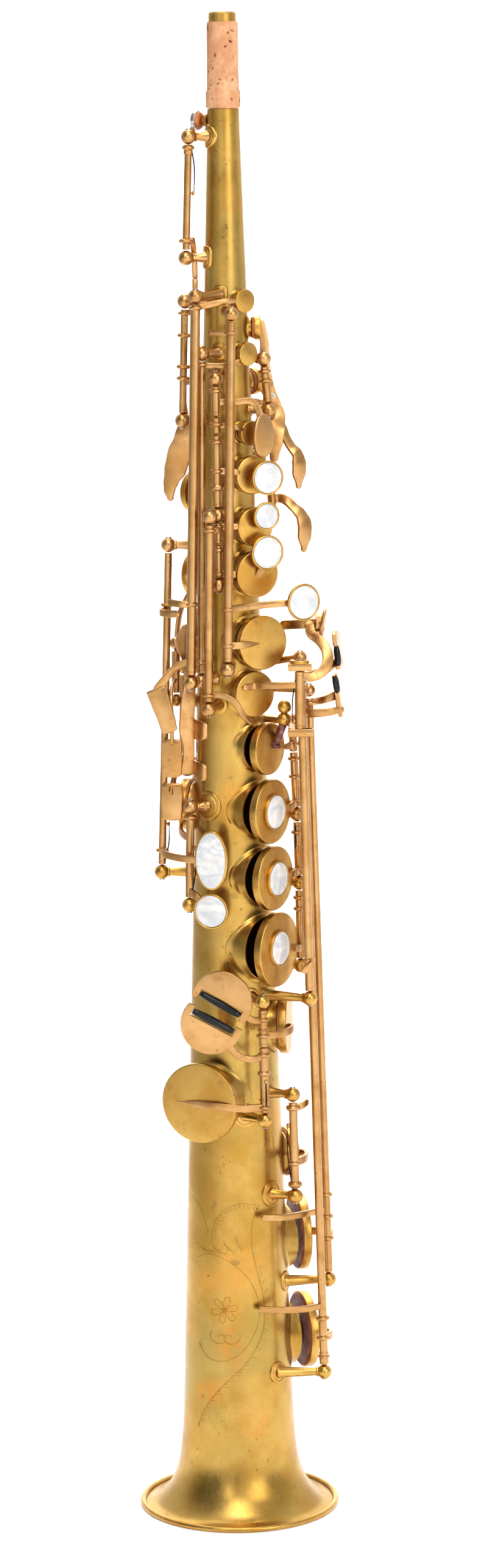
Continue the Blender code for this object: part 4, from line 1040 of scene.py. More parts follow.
def octave_keys():
    """The two octave keys and the thumb lever that works them."""
    o1, o2 = Vector((-15.0, -5.5, 612.4)), Vector((-16.8, -6.1, 560.7))
    o3, o4 = Vector((-17.5, -6.3, 542.2)), Vector((-19.2, -7.0, 490.7))
    post(o1, disc=5.2, pivot=UP)
    post(o2, disc=4.6, shape=True)
    post(o3)
    post(o4, pivot=-UP)
    k = Key("octave_upper_key", radius=1.6)
    k.sleeve(608.6, 605.0, 2.0)
    k.collars((607.8, 2.7, 2.2), (568.0, 3.3, 1.9))
    c = k.cup("octave_high", 3.4, pad="tan_pad", finish="nickel", pad_h=2.4, dome=0.2)
    k.arm([k.at(606.5), pol(-92, 16.4, 607), pol(-112, 15.4, 612), c + out(-115) * -0.8], 2.6, 1.5)
    k.arm([k.at(568.0), (-13.8, -3.6, 567.8)], 2.6, 1.5)
    k.arm([(-14.0, -3.4, 568.4), (-13.4, -1.0, 563.0), (-13.0, 0.2, 552.2)], 2.4, 1.4,
          face=Vector((0.3, -0.95, 0)))
    k.spring(609, 587.5, (1, 0.2, 0))
    k.done()

    k = Key("octave_thumb_lever", radius=1.6)
    for z, r in ((527.5, 3.0), (514.0, 3.1), (509.0, 3.0)):
        k.collar(z, r)
    k.collar(537.0, 2.9, 1.7)
    k.arm([k.at(537.0), (-13.9, -2.6, 537.2)], 2.6, 1.5)
    k.arm([(-14.1, -2.6, 536.4), (-13.4, -0.4, 541.0), (-13.0, 0.4, 550.6)], 2.4, 1.4,
          face=Vector((0.3, -0.95, 0)))
    lever = [k.at(500.0), (-18.6, -2.2, 491.0), (-19.2, -1.8, 483.0), (-20.8, -1.0, 476.0),
             (-22.6, 0.2, 469.0), (-24.6, 1.6, 463.5), (-25.3, 2.6, 459.5),
             (-25.0, 3.2, 456.0)]
    widths = [3.0, 4.0, 7.5, 10.4, 10.0, 6.8, 5.2, 3.0]
    k.arm(lever, widths, 1.6, face=Vector((-0.25, -0.97, 0)), crown=0.15)
    k.done()

    a, b = pol(-150, 18.5, 512.0), pol(-150, 19.5, 484.0)
    post(a)
    post(b)
    k = Key("octave_lower_key")
    c = k.cup("octave_low", 3.2, pad="tan_pad", pad_h=2.0, dome=0.2)
    k.arm([k.at(497.0), pol(-165, 16.6, 497), c - out(176) * 0.8], 2.6, 1.5, tip=True)
    k.arm([k.at(506.0), pol(-128, 18.2, 506), pol(-112, 19.4, 506)], 2.6, 1.5)
    k.collars((497, 2.7), (506, 2.7))
    k.done()


def palm_keys():
    """The three palm keys of the left hand, on the side of the upper tube."""
    post((16.2, -5.0, 517.0), pivot=UP)
    post((18.0, -5.0, 494.8), stem=1.6, pivot=-UP)
    k = Key("palm_f_key")
    c = k.cup("palm_f", 3.8, pad="tan_pad", pad_h=2.2)
    k.collars(511.5, (507.5, 3.1))
    k.arm([k.at(506.0), (19.0, -2.4, 506.0)], 3.0, 1.6)
    strap = [c + Vector((0.3, -0.4, 1.5)), (16.5, -0.2, 524.0), (16.6, -0.6, 516.5),
             (17.8, -1.8, 508.0), (19.4, -1.0, 501.5), (21.6, -0.6, 496.0),
             (22.6, -2.0, 491.5), (21.6, -4.4, 487.0), (20.9, -5.6, 481.0),
             (20.3, -6.0, 474.0)]
    front = Vector((0.1, -1, 0))
    k.arm(strap, [3.6, 3.8, 4.4, 4.2, 4.2, 4.4, 5.5, 7.2, 6.6, 4.0], 1.5, face=front)
    for z, x, y in ((510.6, 17.5, -1.5), (500.6, 19.6, -1.0)):
        k.add("screw", *slotted_head(Vector((x, y - 0.7, z)), front, 1.5, 0.45))
    k.done()

    for name, phi, z0, z1, hook in (
        ("palm_e_flat", 128, 497.0, 482.0, [(23.4, 5.0, 486.8), (25.6, 3.6, 481.5), (28.0, 2.0, 477.6),
                                            (30.4, 0.6, 474.8), (31.1, 0.0, 471.0), (31.1, 0.3, 466.9),
                                            (30.9, 1.0, 460.8)]),
        ("palm_d", 126, 462.0, 447.0, [(22.0, 5.5, 455.1), (25.7, 3.5, 454.0), (28.7, 2.0, 451.3),
                                       (31.5, 1.0, 448.6), (33.2, 0.4, 444.6), (33.2, 0.2, 439.0),
                                       (32.9, 0.8, 433.0)]),
    ):
        post(pol(105, 19.3, z0), r=2.7, stem=1.6)
        post(pol(104, 20.2, z1), r=2.7, stem=1.6)
        k = Key(name + "_key")
        c = k.cup(name, 3.8, pad="tan_pad", pad_h=2.2)
        k.arm([k.at(z0 - 6.5), pol(116, 21.6, z0 - 4), pol(124, 20.6, z0 + 3), c - out(phi) * 0.6],
              2.6, 1.5)
        k.arm([k.at(z0 - 8.0)] + hook, [3.0, 4.0, 4.2, 4.2, 5.2, 6.8, 6.8, 2.6], 1.6,
              face=Vector((0.55, -0.83, 0)), crown=0.12)
        k.done()


def upper_stack():
    """The left hand stack with its pearls, the front F key and the bridge to the right hand."""
    top, mid, low = Vector((-4.7, -19.0, 509.9)), Vector((-4.4, -20.1, 451.0)), Vector((-4.2, -20.8, 420.5))
    post(top, pivot=UP)
    post(mid)
    post(low, pivot=-UP)
    front = out(38)

    k = Key("front_f_key")
    k.collar(504.6)
    touch = Vector((15.4, -19.5, 485.0))
    k.arm([k.at(499.6), (3, -18.2, 499.6), (11.6, -17.4, 499.2), (14.2, -18.2, 494.0),
           (15.0, -18.8, 486.0)], 3.0, 1.6)
    k.add("rods", plate(touch, front, oval(5.6, 9.7), 1.6, 0.6, dome=0.9))
    k.done()

    k = Key("c_vent_key", True)
    c = k.cup("c_vent", 3.8)
    k.collar(490.2, 3.0)
    k.arm([k.at(489.8), (2.5, -17.6, 489.0), c - front * 0.6], 2.6, 1.5, tip=True)
    k.done()

    k = Key("b_key", True)
    c = k.cup("b", pad="dark_pad")
    k.collars((482.6, 3.1), (463.0, 3.2, 3.0))
    hold = pol(44.5, 23.9, 467.0)
    k.arm([k.at(470.0), (1.5, -19.0, 469.8), c - front * 0.5], 3.0, 1.6, tip=True)
    stem = [(0, 0), (2.6, 0), (2.0, 1.0), (2.2, 3.0), (0, 3.2)]
    k.add("rods", lathe(c - front * 1.4, hold - c + front * 1.6, stem, 24))
    k.pearl(hold, front, 6.6)
    k.collar(470.0, 2.7)
    k.done()

    k = Key("bis_key", True)
    c = k.cup("bis", pad="dark_pad")
    k.arm([k.at(446.0), (1.5, -19.4, 446.0), c - front * 0.5], 3.0, 1.6, tip=True)
    hold = pol(45, 22.4, 450.2)
    foot = pol(44, 20.4, 449.4)
    k.add("rods", lathe(foot, hold - foot, [(0, 0), (2.2, 0), (1.9, 2.0), (0, 2.3)], 24))
    k.pearl(hold, front, 5.3)
    k.collar(446.0, 2.7)
    k.done()

    k = Key("a_key", True)
    c = k.cup("a", pad="dark_pad")
    k.collar(436.0, 3.0)
    k.arm([k.at(425.0) + Vector((0, 0, 0.6)), (2.0, -19.2, 425.2), c - front * 0.5], 3.2, 1.6, tip=True)
    hold = pol(45, 22.6, 434.4)
    k.arm([c - front * 0.3 + Vector((0, 0, -1)), pol(43, 21.4, 429.0), hold], 1.6, 3.6, front)
    k.pearl(hold, front, 6.8)
    k.collar(425.4, 2.7)
    k.done()

    d0, d1 = Vector((-7.9, -26.4, 451.0)), Vector((-9.4, -26.4, 367.1))
    strut(mid, d0, 1.5)
    ball(d0, pivot=UP)
    post(d1, disc=4.2, pivot=-UP)
    k = Key("bis_bridge_key")
    k.collars(445.2, (373.4, 3.0))
    root = k.at(445.2)
    k.arm([root, root + Vector((2.4, 0.6, 0)), root + Vector((4.6, 2.4, -0.4))], 2.4, 1.3)
    k.arm([k.at(373.4), (-4.0, -27.6, 373.4), (1.8, -29.4, 371.0), (5.6, -28.2, 364.5),
           (8.8, -24.2, 361.0)], 2.6, 1.5)
    k.done()


def long_front_rods():
    """The long rods across the upper tube: high F sharp, side E and G."""
    post((-12.8, -18.4, 545.0), foot_phi=-14, pivot=UP, disc=3.6, shape=True)
    post((-16.9, -23.5, 378.4), foot_phi=-30, pivot=-UP)
    k = Key("high_f_sharp_key", radius=2.15)
    c = k.cup("high_f_sharp", 3.6)
    k.collar(540.2, 3.1)
    k.arm([k.at(540.2), (-8.5, -17.6, 541.0), (0.0, -16.0, 542.6), c - out(37) * 0.6], 2.6, 1.5, tip=True)
    k.collar(412.6)
    k.arm([k.at(412.6), (-20.0, -23.5, 412.8), (-25.2, -19.0, 413.0)], 3.0, 1.6)
    k.done()

    post((-10.6, -14.0, 520.3), foot_phi=-18, disc=4.2)
    post((-12.4, -18.2, 378.3), foot_phi=-26)
    k = Key("side_e_key")
    c = k.cup("side_e", 3.6)
    k.collar(515.4)
    k.arm([k.at(515.4), (-6.0, -15.0, 515.0), (1.0, -14.6, 515.2), c - out(41) * 0.6], 2.6, 1.5, tip=True)
    k.collar(386.5, 2.7)
    k.sleeve(481.0, 480.0, 2.05)
    k.arm([k.at(386.5), (-16.0, -13.6, 386.4), (-22.0, -12.8, 384.6),
           (-28.0, -13.6, 379.0), (-31.4, -14.0, 374.4)], [3, 3, 3.2, 3.4, 4.0], 1.5)
    k.arm([(-32.2, -14.0, 374.2), (-30.2, -14.6, 368.0), (-27.8, -15.0, 361.0),
           (-26.6, -15.2, 356.2)], [8.8, 8.2, 7.6, 7.0], 1.9, face=Vector((-0.1, -1, 0)),
          round_ends=(0.06, 0.16), crown=0.25)
    k.done()

    post((2.4, -21.0, 537.6), pivot=UP)
    post((-0.9, -26.5, 384.4), pivot=-UP)
    k = Key("g_key", True, 2.05)
    k.collar(529.5)
    root = k.at(529.5)
    k.arm([root, root + Vector((-5.0, 0.6, 0)), root + Vector((-9.4, 2.0, 0))], 2.6, 1.5)
    c = k.cup("g", pad="dark_pad")
    k.collars(394.8, 410.6)
    k.arm([k.at(394.8), (4.0, -24.4, 394.8), c - out(41) * 0.5], 3.2, 1.6, tip=True)
    k.arm([k.at(410.6), (6.0, -26.6, 411.6), (18.0, -25.6, 413.0), (29.6, -21.2, 413.3)],
          3.0, 1.6)
    k.pearl(Vector((31.4, -20.4, 413.4)), out(42), 7.2)
    k.done()

    post((-26.0, -4.0, 436.3), foot_phi=-62, disc=4.0, pivot=UP)
    post((-30.9, -6.0, 291.7), foot_phi=-66, pivot=-UP)
    k = Key("high_f_sharp_lever", radius=1.65)
    k.collars(410.0, 301.4)
    k.arm([k.at(407.6), (-29.5, -10.5, 407.6), (-25.8, -15.8, 407.6), (-22.6, -17.6, 407.8)],
          3.2, 1.6)
    k.arm([k.at(301.2), (-29.6, -12.6, 301.0), (-22.0, -19.6, 300.2),
           (-11.6, -23.9, 300.2), (-7.6, -25.2, 300.4)], 3.2, 1.6)
    k.pearl(Vector((-8.6, -25.2, 300.4)), out(-18), 12.3, 0.54)
    k.spring(296.0, 314.0, (0.95, -0.3, 0))
    k.done()


def side_keys():
    """The right hand side keys and the alternate F sharp key."""
    post((-23.5, 2.0, 392.1), r=2.8)
    post((-23.8, 2.0, 366.8), r=2.8)
    k = Key("side_c_key")
    c = k.cup("side_c")
    k.arm([k.at(382.0), (-23.4, 7.0, 384), (-21.6, 9.4, 404), c - out(-118) * 0.6 - Vector((0, 0, 4))],
          3.0, 1.6, Vector((0.45, 0.88, 0)), tip=True)
    k.arm([k.at(376.0), (-25.4, -4.0, 373), (-25.6, -9.4, 362), (-25.6, -9.9, 350.5)],
          [3, 3, 3.2, 4], 1.6, Vector((0.1, 1, 0)))
    k.arm([(-25.9, -9.8, 350.6), (-25.9, -10.2, 342.6), (-26.0, -10.4, 335.8)],
          [9.0, 9.4, 8.8], 2.0, face=Vector((-0.12, -1, 0)), round_ends=(0.1, 0.14), crown=0.3)
    k.done()

    post((-20.4, 12.0, 380.0), r=2.8)
    post((-20.9, 12.4, 338.0), r=2.8)
    k = Key("side_b_flat_key")
    c = k.cup("side_b_flat")
    k.arm([k.at(373.0), (-17.6, 16.4, 378), (-12.6, 19.4, 390), c - out(-150) * 0.6],
          3.0, 1.6, Vector((0.87, 0.5, 0)), tip=True)
    k.arm([k.at(348.0) + Vector((0.3, 0.2, 0)), (-23.8, 5.6, 343), (-24.0, -2.0, 337),
           (-25.2, -6.6, 332.6),
           (-26.0, -9.4, 328.4)], [3, 3, 3, 3, 3.6], 1.6, Vector((0, 0.3, 1)))
    k.arm([(-26.0, -8.8, 331.0), (-26.0, -9.2, 323.8), (-26.1, -9.4, 316.4)],
          [8.8, 9.6, 8.8], 2.0, face=Vector((-0.12, -1, 0)), round_ends=(0.1, 0.14), crown=0.3)
    k.done()

    post((-17.9, -14.0, 322.1), foot_phi=-40, disc=6.6, pivot=UP)
    post((-18.9, -16.0, 278.7), foot_phi=-42, pivot=-UP)
    k = Key("alt_f_sharp_key")
    c = k.cup("alt_f_sharp", pad="tan_pad")
    k.collar(317.4)
    k.arm([k.at(308.0), (-21.0, -8.4, 308.4), (-22.6, -2.4, 310.0),
           c + out(-104) * -0.6 - Vector((0, 0, 6))], 3.0, 1.6)
    k.arm([k.at(285.0), (-16.4, -21.2, 284.0), (-11.6, -23.4, 279.6)], 3.2, 1.6)
    k.pearl(Vector((-9.2, -24.3, 277.6)), out(-18), 7.0)
    k.spring(283.0, 305.0, (0.8, -0.5, 0))
    k.done()


def lower_stack():
    """The right hand stack: F sharp, F, E and D."""
    r0, r1 = Vector((27.0, -2.0, 357.6)), Vector((28.8, -1.6, 316.0))
    r2, r3 = Vector((29.5, -1.5, 285.3)), Vector((29.9, -1.5, 247.8))
    for p in (r0, r1, r2, r3):
        post(p, foot_phi=108, stem=1.5)

    def stack_arm(k, hole, z, reach):
        """The arm that sweeps forward from the hinge and over the cup to the pearl's holder."""
        phi = HOLES[hole][0]
        c = pol(phi, seat(hole) + PAD_GAP + CUP_H, HOLES[hole][1])
        n, t = out(phi), out(phi + 90)
        k.collar(z)
        bend = c + t * 12 + n * 2.3 + Vector((0, 0, (z - c.z) * 0.6))
        k.arm([k.at(z), bend, c + t * reach + n * 0.7], 3.2, 1.6, tip=reach < 5)

    k = Key("f_sharp_key", True)
    k.cup("f_sharp", pad="dark_pad")
    stack_arm(k, "f_sharp", 347.6, 1.0)
    low, high = pol(56, 21.4, 348.5), pol(56, 26.0, 359.6)
    stem = [(0, 0), (2.6, 0), (2.6, 1.2), (1.8, 1.8), (1.8, 11.6), (0, 11.6)]
    k.add("patina", lathe(low, high - low, stem, 28))
    for p in (pol(56, 26.0, 360.6), pol(56, 26.2, 366.0)):
        k.add("holder", sphere(p, 3.0))
        k.add("holder", *slotted_head(p + Vector((1.6, -2.1, -0.6)), (1.6, -2.1, -0.6), 1.3, 0.4))
    k.done()

    for hole, bands, arm_z, reach, pearl_phi, pearl_z in (
        ("f", (341.0, 333.0), 321.8, 7.8, 48, 319.8),
        ("e", (308.0,), 291.2, 7.8, 48, 290.2),
        ("d", (278.6, 273.6), 256.0, 6.4, 46, 259.4),
    ):
        k = Key(hole + "_key", True)
        if hole == "e":
            k.spring(312.0, 300.0, (-0.4, -0.9, 0))
        k.cup(hole, pad="dark_pad")
        for z in bands:
            k.collar(z)
        stack_arm(k, hole, arm_z, reach)
        top = seat(hole) + PAD_GAP + CUP_H
        k.pearl(pol(pearl_phi, top + 0.2, pearl_z), out(HOLES[hole][0]), 7.3, tall=1.1)
        k.done()


def right_little_finger():
    """The round table of two touches, and the keys E flat and low C."""
    post((12.5, -28.0, 237.4), disc=4.0, pivot=UP)
    post((13.2, -30.0, 184.5), foot_phi=12, disc=5.4, pivot=-UP)
    tilt = radians(-28)
    n = out(-12)
    right = UP.cross(n)
    along = right * cos(tilt) + UP * sin(tilt)
    away = UP * cos(tilt) - right * sin(tilt)

    def half(sign):
        """Half of the round table: a disc cut along a chord, with a notch in the chord for its roller."""
        r, below = 13.6, 3.8
        start = degrees(asin(-below / r))
        pts = []
        for i in range(41):
            t = radians(start + (180 - 2 * start) * i / 40)
            pts.append((r * cos(t), r * sin(t) + below))
        pts += [(-10.2, 0), (-10.2, 4.6), (10.2, 4.6), (10.2, 0)]
        return [(x * cos(tilt) - y * sign * sin(tilt), x * sin(tilt) + y * sign * cos(tilt))
                for x, y in pts]

    for name, sign, chord, cup, stands_open in (
        ("e_flat_key", 1, Vector((-7.0, -31.5, 235.3)), "e_flat", False),
        ("low_c_key", -1, Vector((-8.9, -31.2, 232.7)), "low_c", True),
    ):
        k = Key(name, stands_open)
        c = k.cup(cup, pad="tan_pad" if sign > 0 else "dark_pad")
        k.add("rods", plate(chord, n, half(sign), 1.7, 0.3))
        if sign > 0:
            k.collars(229.6, (225.0, 2.5, 1.2))
            k.arm([k.at(229.4), (8.6, -31.4, 230.0), chord + along * 11.0 + away * 3.0 - n * 1.3], 3.0, 1.6)
            k.collar(222.4)
            k.arm([k.at(222.4), (19.6, -25.0, 222.2), (25.6, -14.0, 222.2), c - out(82) * 0.4],
                  3.2, 1.6, tip=True)
        else:
            k.collars(213.8, (205.6, 2.9, 2.2), (193.8, 2.4, 1.2))
            k.arm([k.at(213.6), (7.6, -31.8, 212.8), (1.0, -31.6, 214.6), (-2.6, -31.9, 218.6),
                   chord + along * 6.0 - away * 9.0 - n * 1.1], 3.0, 1.6)
            k.collar(190.4)
            far = c + out(-125) * 10.5
            k.arm([k.at(190.4), (4.0, -30.4, 190.4), (-8.0, -27.8, 191.4), c + out(-35) * 0.4, far],
                  3.4, 1.8, tip=True)
            k.spring(187.6, 203.0, (0.3, -0.95, 0), 2.6)
        k.roller(chord + away * sign * 2.4, along, 19.8)
        k.done()


def left_little_finger():
    """The left table, and the keys G sharp, low C sharp, low B and low B flat."""
    a, b = Vector((30.2, -21.5, 386.1)), Vector((30.0, -21.5, 353.95))
    c0, c1 = Vector((30.6, -16.5, 388.0)), Vector((33.4, -21.0, 237.2))
    bb0, bb1 = Vector((31.6, -11.0, 371.6)), Vector((38.5, -15.7, 65.2))
    b0, b1 = Vector((34.4, -5.5, 371.8)), Vector((41.0, -5.0, 104.9))
    stack_head = Vector((27.0, -2.0, 357.6))

    block_head(a - Vector((0, 0, 1.5)), 4.8, 5.2)
    cap = rounded([(0, 0), (4.2, 0), (4.2, 1.3), (0, 1.3)], 0.3)
    Fixed.add("brass_heads", lathe(a + Vector((0, 0, 0.2)), UP, cap, 36))
    Fixed.add("screws", *slotted_head(a + Vector((0, 0, 1.5)), UP, 1.3))
    block_head(b + Vector((0, 0, 1.75)), 5.0, 5.2, pointed=True)
    strut(b + Vector((-3.8, 0, 1.75)), stack_head, 1.3)
    post(c0, r=2.9, foot_phi=96, foot_z=383.0, stem=1.4, pivot=UP)
    strut(c0, a - Vector((0, 0, 1.0)), 1.3)
    post(c1, foot_phi=48, pivot=-UP)
    post(b0, r=2.9, foot_phi=112, stem=1.5, pivot=UP)
    ball(bb0, 2.9, pivot=UP)
    strut(b0, bb0, 1.1)
    post(b1, foot_phi=72, disc=4.6, pivot=-UP)
    post(bb1, foot_phi=48, disc=5.0, pivot=-UP)

    k = Key("g_sharp_key", radius=2.05)
    k.cup("g_sharp", pad="dark_pad")
    k.arm([k.at(376.6), (22.0, -22.0, 376.6), (14.5, -19.6, 376.2), (10.9, -17.4, 375.8),
           (6.6, -20.2, 375.6)], 3.0, 1.8)
    bow = [k.at(380.4), (36.0, -20.8, 380.0), (40.4, -18.6, 382.2), (42.6, -15.6, 386.6),
           (42.0, -13.0, 390.6), (39.0, -10.4, 394.6), (35.6, -8.6, 397.4),
           (34.9, -7.6, 400.6)]
    k.arm(bow, [3.6, 4.0, 4.6, 4.8, 4.6, 4.4, 4.4, 4.4], 2.3, face=Vector((0.1, -0.95, 0.2)))
    k.arm([(24.0, 1.0, 399.8), (31.0, -3.0, 400.6), (38.6, -6.0, 401.4)], 4.0, 2.1)
    k.add("rods", rod((37.4, -5.6, 401.3), (3.6, 0.4, -0.3), 4.1, 3.6, 40))
    k.add("rods", lathe(Vector((40.2, -5.0, 401.0)), Vector((1, -0.12, -0.16)),
                        rounded([(0, 0), (6.6, 0), (7.1, 1.0), (6.4, 1.5), (0, 1.9)], 0.3), 56))
    k.spring(382.0, 360.0, (-0.95, -0.3, 0), 3.2)
    k.done()

    k = Key("low_b_flat_key", True)
    c = k.cup("low_b_flat", 4.6)
    k.collars(362.0, (90.0, 3.1), (81.0, 3.1))
    k.sleeve(74.4, 69.0, 2.1)
    k.collar(72.4, 2.8, 1.2)
    k.standing_arm([k.at(362.6), (37.0, -13.2, 362.8), (43.4, -13.6, 363.4), (48.4, -11.2, 364.0)],
                   [4.0, 3.8, 3.4, 2.6], 1.8)
    center, ahead = k.shut((47.4, -6.4, 370.0)), k.shut((48.4, -6.55, 370.16))
    outline = [(-6, -9.3), (3.6, -9.3), (3.6, 9.3), (-6, 9.3), (-6, 8.9), (-2.9, 8.9), (-2.9, 1.3), (-6, 1.3)]
    k.add("rods", plate(center, ahead - center, outline, 1.7, 0.35))
    k.upright_roller(center, ahead - center, -4.6, 1.6, 8.6)
    k.arm([k.at(81.0), (40.0, -8.0, 80.0), (36.4, 4.0, 78.0), c - out(118) * 0.4], 3.6, 1.8)
    k.standing_arm([k.at(95.6), (31.0, -20.8, 95.9), (21.0, -24.0, 96.3), (10.6, -24.6, 96.8)],
                   2.8, 1.8)
    bumper, stop = k.shut((11.4, -24.9, 96.8)), k.shut((10.9, -23.9, 96.8))
    k.add("felt", rod(bumper, stop - bumper, 1.3, 1.6, 16))
    k.done()

    k = Key("low_b_key", True)
    c = k.cup("low_b", 4.6)
    for z in (366.5, 144.0, 134.0, 124.0):
        k.collar(z)
    k.standing_arm([k.at(366.5), (39.6, -3.0, 366.8), (46.4, 3.6, 368.0)], [3.0, 3.4, 4.0], 1.6)
    center, ahead = k.shut((47.0, 5.5, 369.6)), k.shut((48.0, 5.4, 369.7))
    outline = [(-4.4, -8), (4.4, -8), (4.4, 7.6), (-4.4, 7.6)]
    k.add("rods", plate(center, ahead - center, outline, 1.7, 0.35))
    k.arm([k.at(124.0), (40.4, 3.0, 123.6), (34.6, 10.0, 122.4), c - out(118) * 0.4], 3.6, 1.8)
    k.standing_arm([k.at(137.0), (36.2, -7.4, 136.9), (28.6, -13.6, 137.1), (20.4, -19.8, 137.6),
                    (12.2, -22.6, 138.3)], 2.8, 1.8)
    k.done()

    k = Key("low_c_sharp_lever")
    k.collars((377.0, 2.4), 254.0)
    k.arm([k.at(379.6), (36.8, -15.0, 380.6), (42.5, -9.5, 381.8), (45.6, -4.0, 383.4),
           (47.4, -1.6, 384.2)], [3.0, 3.4, 3.6, 4.0, 4.0], 1.6)
    center, n = Vector((47.2, -2.0, 390.0)), Vector((1, -0.15, 0.12))
    outline = [(-7.5, -8.8), (7, -8.8), (7, 6.6), (-5.2, 8), (-7.5, 6.8), (-7.5, 1.6), (-4.4, 1.6),
               (-4.4, -7.2), (-7.5, -7.2)]
    k.add("rods", plate(center, n, outline, 1.9, 0.35))
    k.upright_roller(center, n, -6.1, -6.9, 1.3)
    k.arm([k.at(254.0), (34.4, -25.4, 253.4), (31.2, -26.4, 251.0)], 3.0, 1.6)
    k.done()

    post((25.5, -17.0, 192.9), foot_phi=52, pivot=UP)
    post((26.3, -18.6, 147.1), foot_phi=48, disc=6.0, pivot=-UP)
    k = Key("low_c_sharp_key")
    c = k.cup("low_c_sharp", pad="tan_pad")
    k.collars((187.0, 3.1, 2.4), (162.0, 2.9), (152.4, 3.1, 2.6))
    k.arm([k.at(162.0), (31.0, -8.0, 161.6), (30.4, 3.4, 161.0), c - out(112) * 0.4], 3.4, 1.7, tip=True)
    k.arm([k.at(186.6), (29.6, -15.6, 187.6), (31.4, -13.6, 188.4)], 3.0, 1.6)
    k.spring(150.0, 180.0, (-0.9, -0.3, 0))
    k.done()


# ---------------------------------------------------------------- body and fixed pieces

def skin_normals(me):
    """Give the outer skin the normals of its cone and flare, so the cut holes leave no ripples in it."""
    normals = [c.vector.copy() for c in me.corner_normals]
    for poly in me.polygons:
        middle = poly.center / MM
        off = abs(hypot(middle.x, middle.y) - body_r(middle.z))
        if middle.z > CONE_HIGH or middle.z < 3.0 or off > 0.3:
            continue
        for i in poly.loop_indices:
            p = me.vertices[me.loops[i].vertex_index].co / MM
            slope = body_r(p.z - 0.5) - body_r(p.z + 0.5)
            normals[i] = Vector((p.x, p.y, hypot(p.x, p.y) * slope)).normalized()
    me.normals_split_custom_set(normals)


def body_tube():
    """The cone and bell as one skin with real tone holes, their chimneys and the tenon."""
    sides = 144
    heights = [FLARE[0][0] - 1.2] + [FLARE[0][0] + 0.5 * i for i in range(26)]
    heights += [17 + 1.5 * i for i in range(22)] + [52 + 8 * i for i in range(71)] + [CONE_HIGH]
    outer = [(body_r(max(z, FLARE[0][0])), z) for z in heights]
    outer += [(body_r(CONE_HIGH), CORK_LOW - 0.3), (TENON_R, CORK_LOW - 0.3), (TENON_R, LENGTH - 0.6),
              (TENON_R - 0.6, LENGTH)]
    bore = TENON_R - 1.0
    inner = [(bore + 0.3, LENGTH), (bore, LENGTH - 0.4), (bore, CONE_HIGH)]
    for z in reversed(heights):
        ahead = body_r(max(z, FLARE[0][0]) + 0.25)
        here = body_r(max(z, FLARE[0][0]))
        slope = (here - ahead) / 0.25
        k = WALL / sqrt(1 + slope * slope)
        inner.append((here - k, max(z - k * slope, 0.15)))
    verts, faces = lathe(Vector((0, 0, 0)), UP, outer + inner, sides, closed=True)
    shell = piece("body_tube_skin", "body", "body", [(verts, faces)], ["body_tube"])
    cutters = []
    for name, (phi, z, hole, _) in HOLES.items():
        cutters.append(rod(pol(phi, 1.5, z), out(phi), hole + 0.3, seat(name) + 3, 40))
    tool = placed("tone_hole_cutters", mesh_of("tone_hole_cutters", cutters))
    mod = shell.modifiers.new("holes", "BOOLEAN")
    mod.operation, mod.solver, mod.object = "DIFFERENCE", "EXACT", tool
    mod.use_self = True
    bpy.context.view_layer.update()
    cut = bpy.data.meshes.new_from_object(shell.evaluated_get(bpy.context.evaluated_depsgraph_get()))
    shell.modifiers.clear()
    shell.data = cut
    cut.shade_smooth()
    cut.set_sharp_from_angle(angle=radians(30))
    bpy.data.objects.remove(tool)
    skin_normals(cut)

    chimneys = [chimney(n) for n in HOLES if n not in PIPS]
    piece("tone_hole_chimneys", "body", "body", chimneys)
    pips = []
    for name in PIPS:
        phi, z, hole, _ = HOLES[name]
        n = out(phi)
        low = body_r(z) - 0.3
        h = seat(name) - low
        pip = [(hole, 0), (hole + 2.4, 0), (hole + 2.2, 0.6),
               (hole + 1.2, h - 0.3), (hole + 0.9, h), (hole, h)]
        pips.append(lathe(n * low + UP * z, n, pip, 32, closed=True))
    piece("octave_pips", "body", "brass", pips)


def dice(seed):
    """Repeatable draws, each a whole number below 2 ** 31."""
    while True:
        seed = (seed * 1103515245 + 12345) % 2147483648
        yield seed


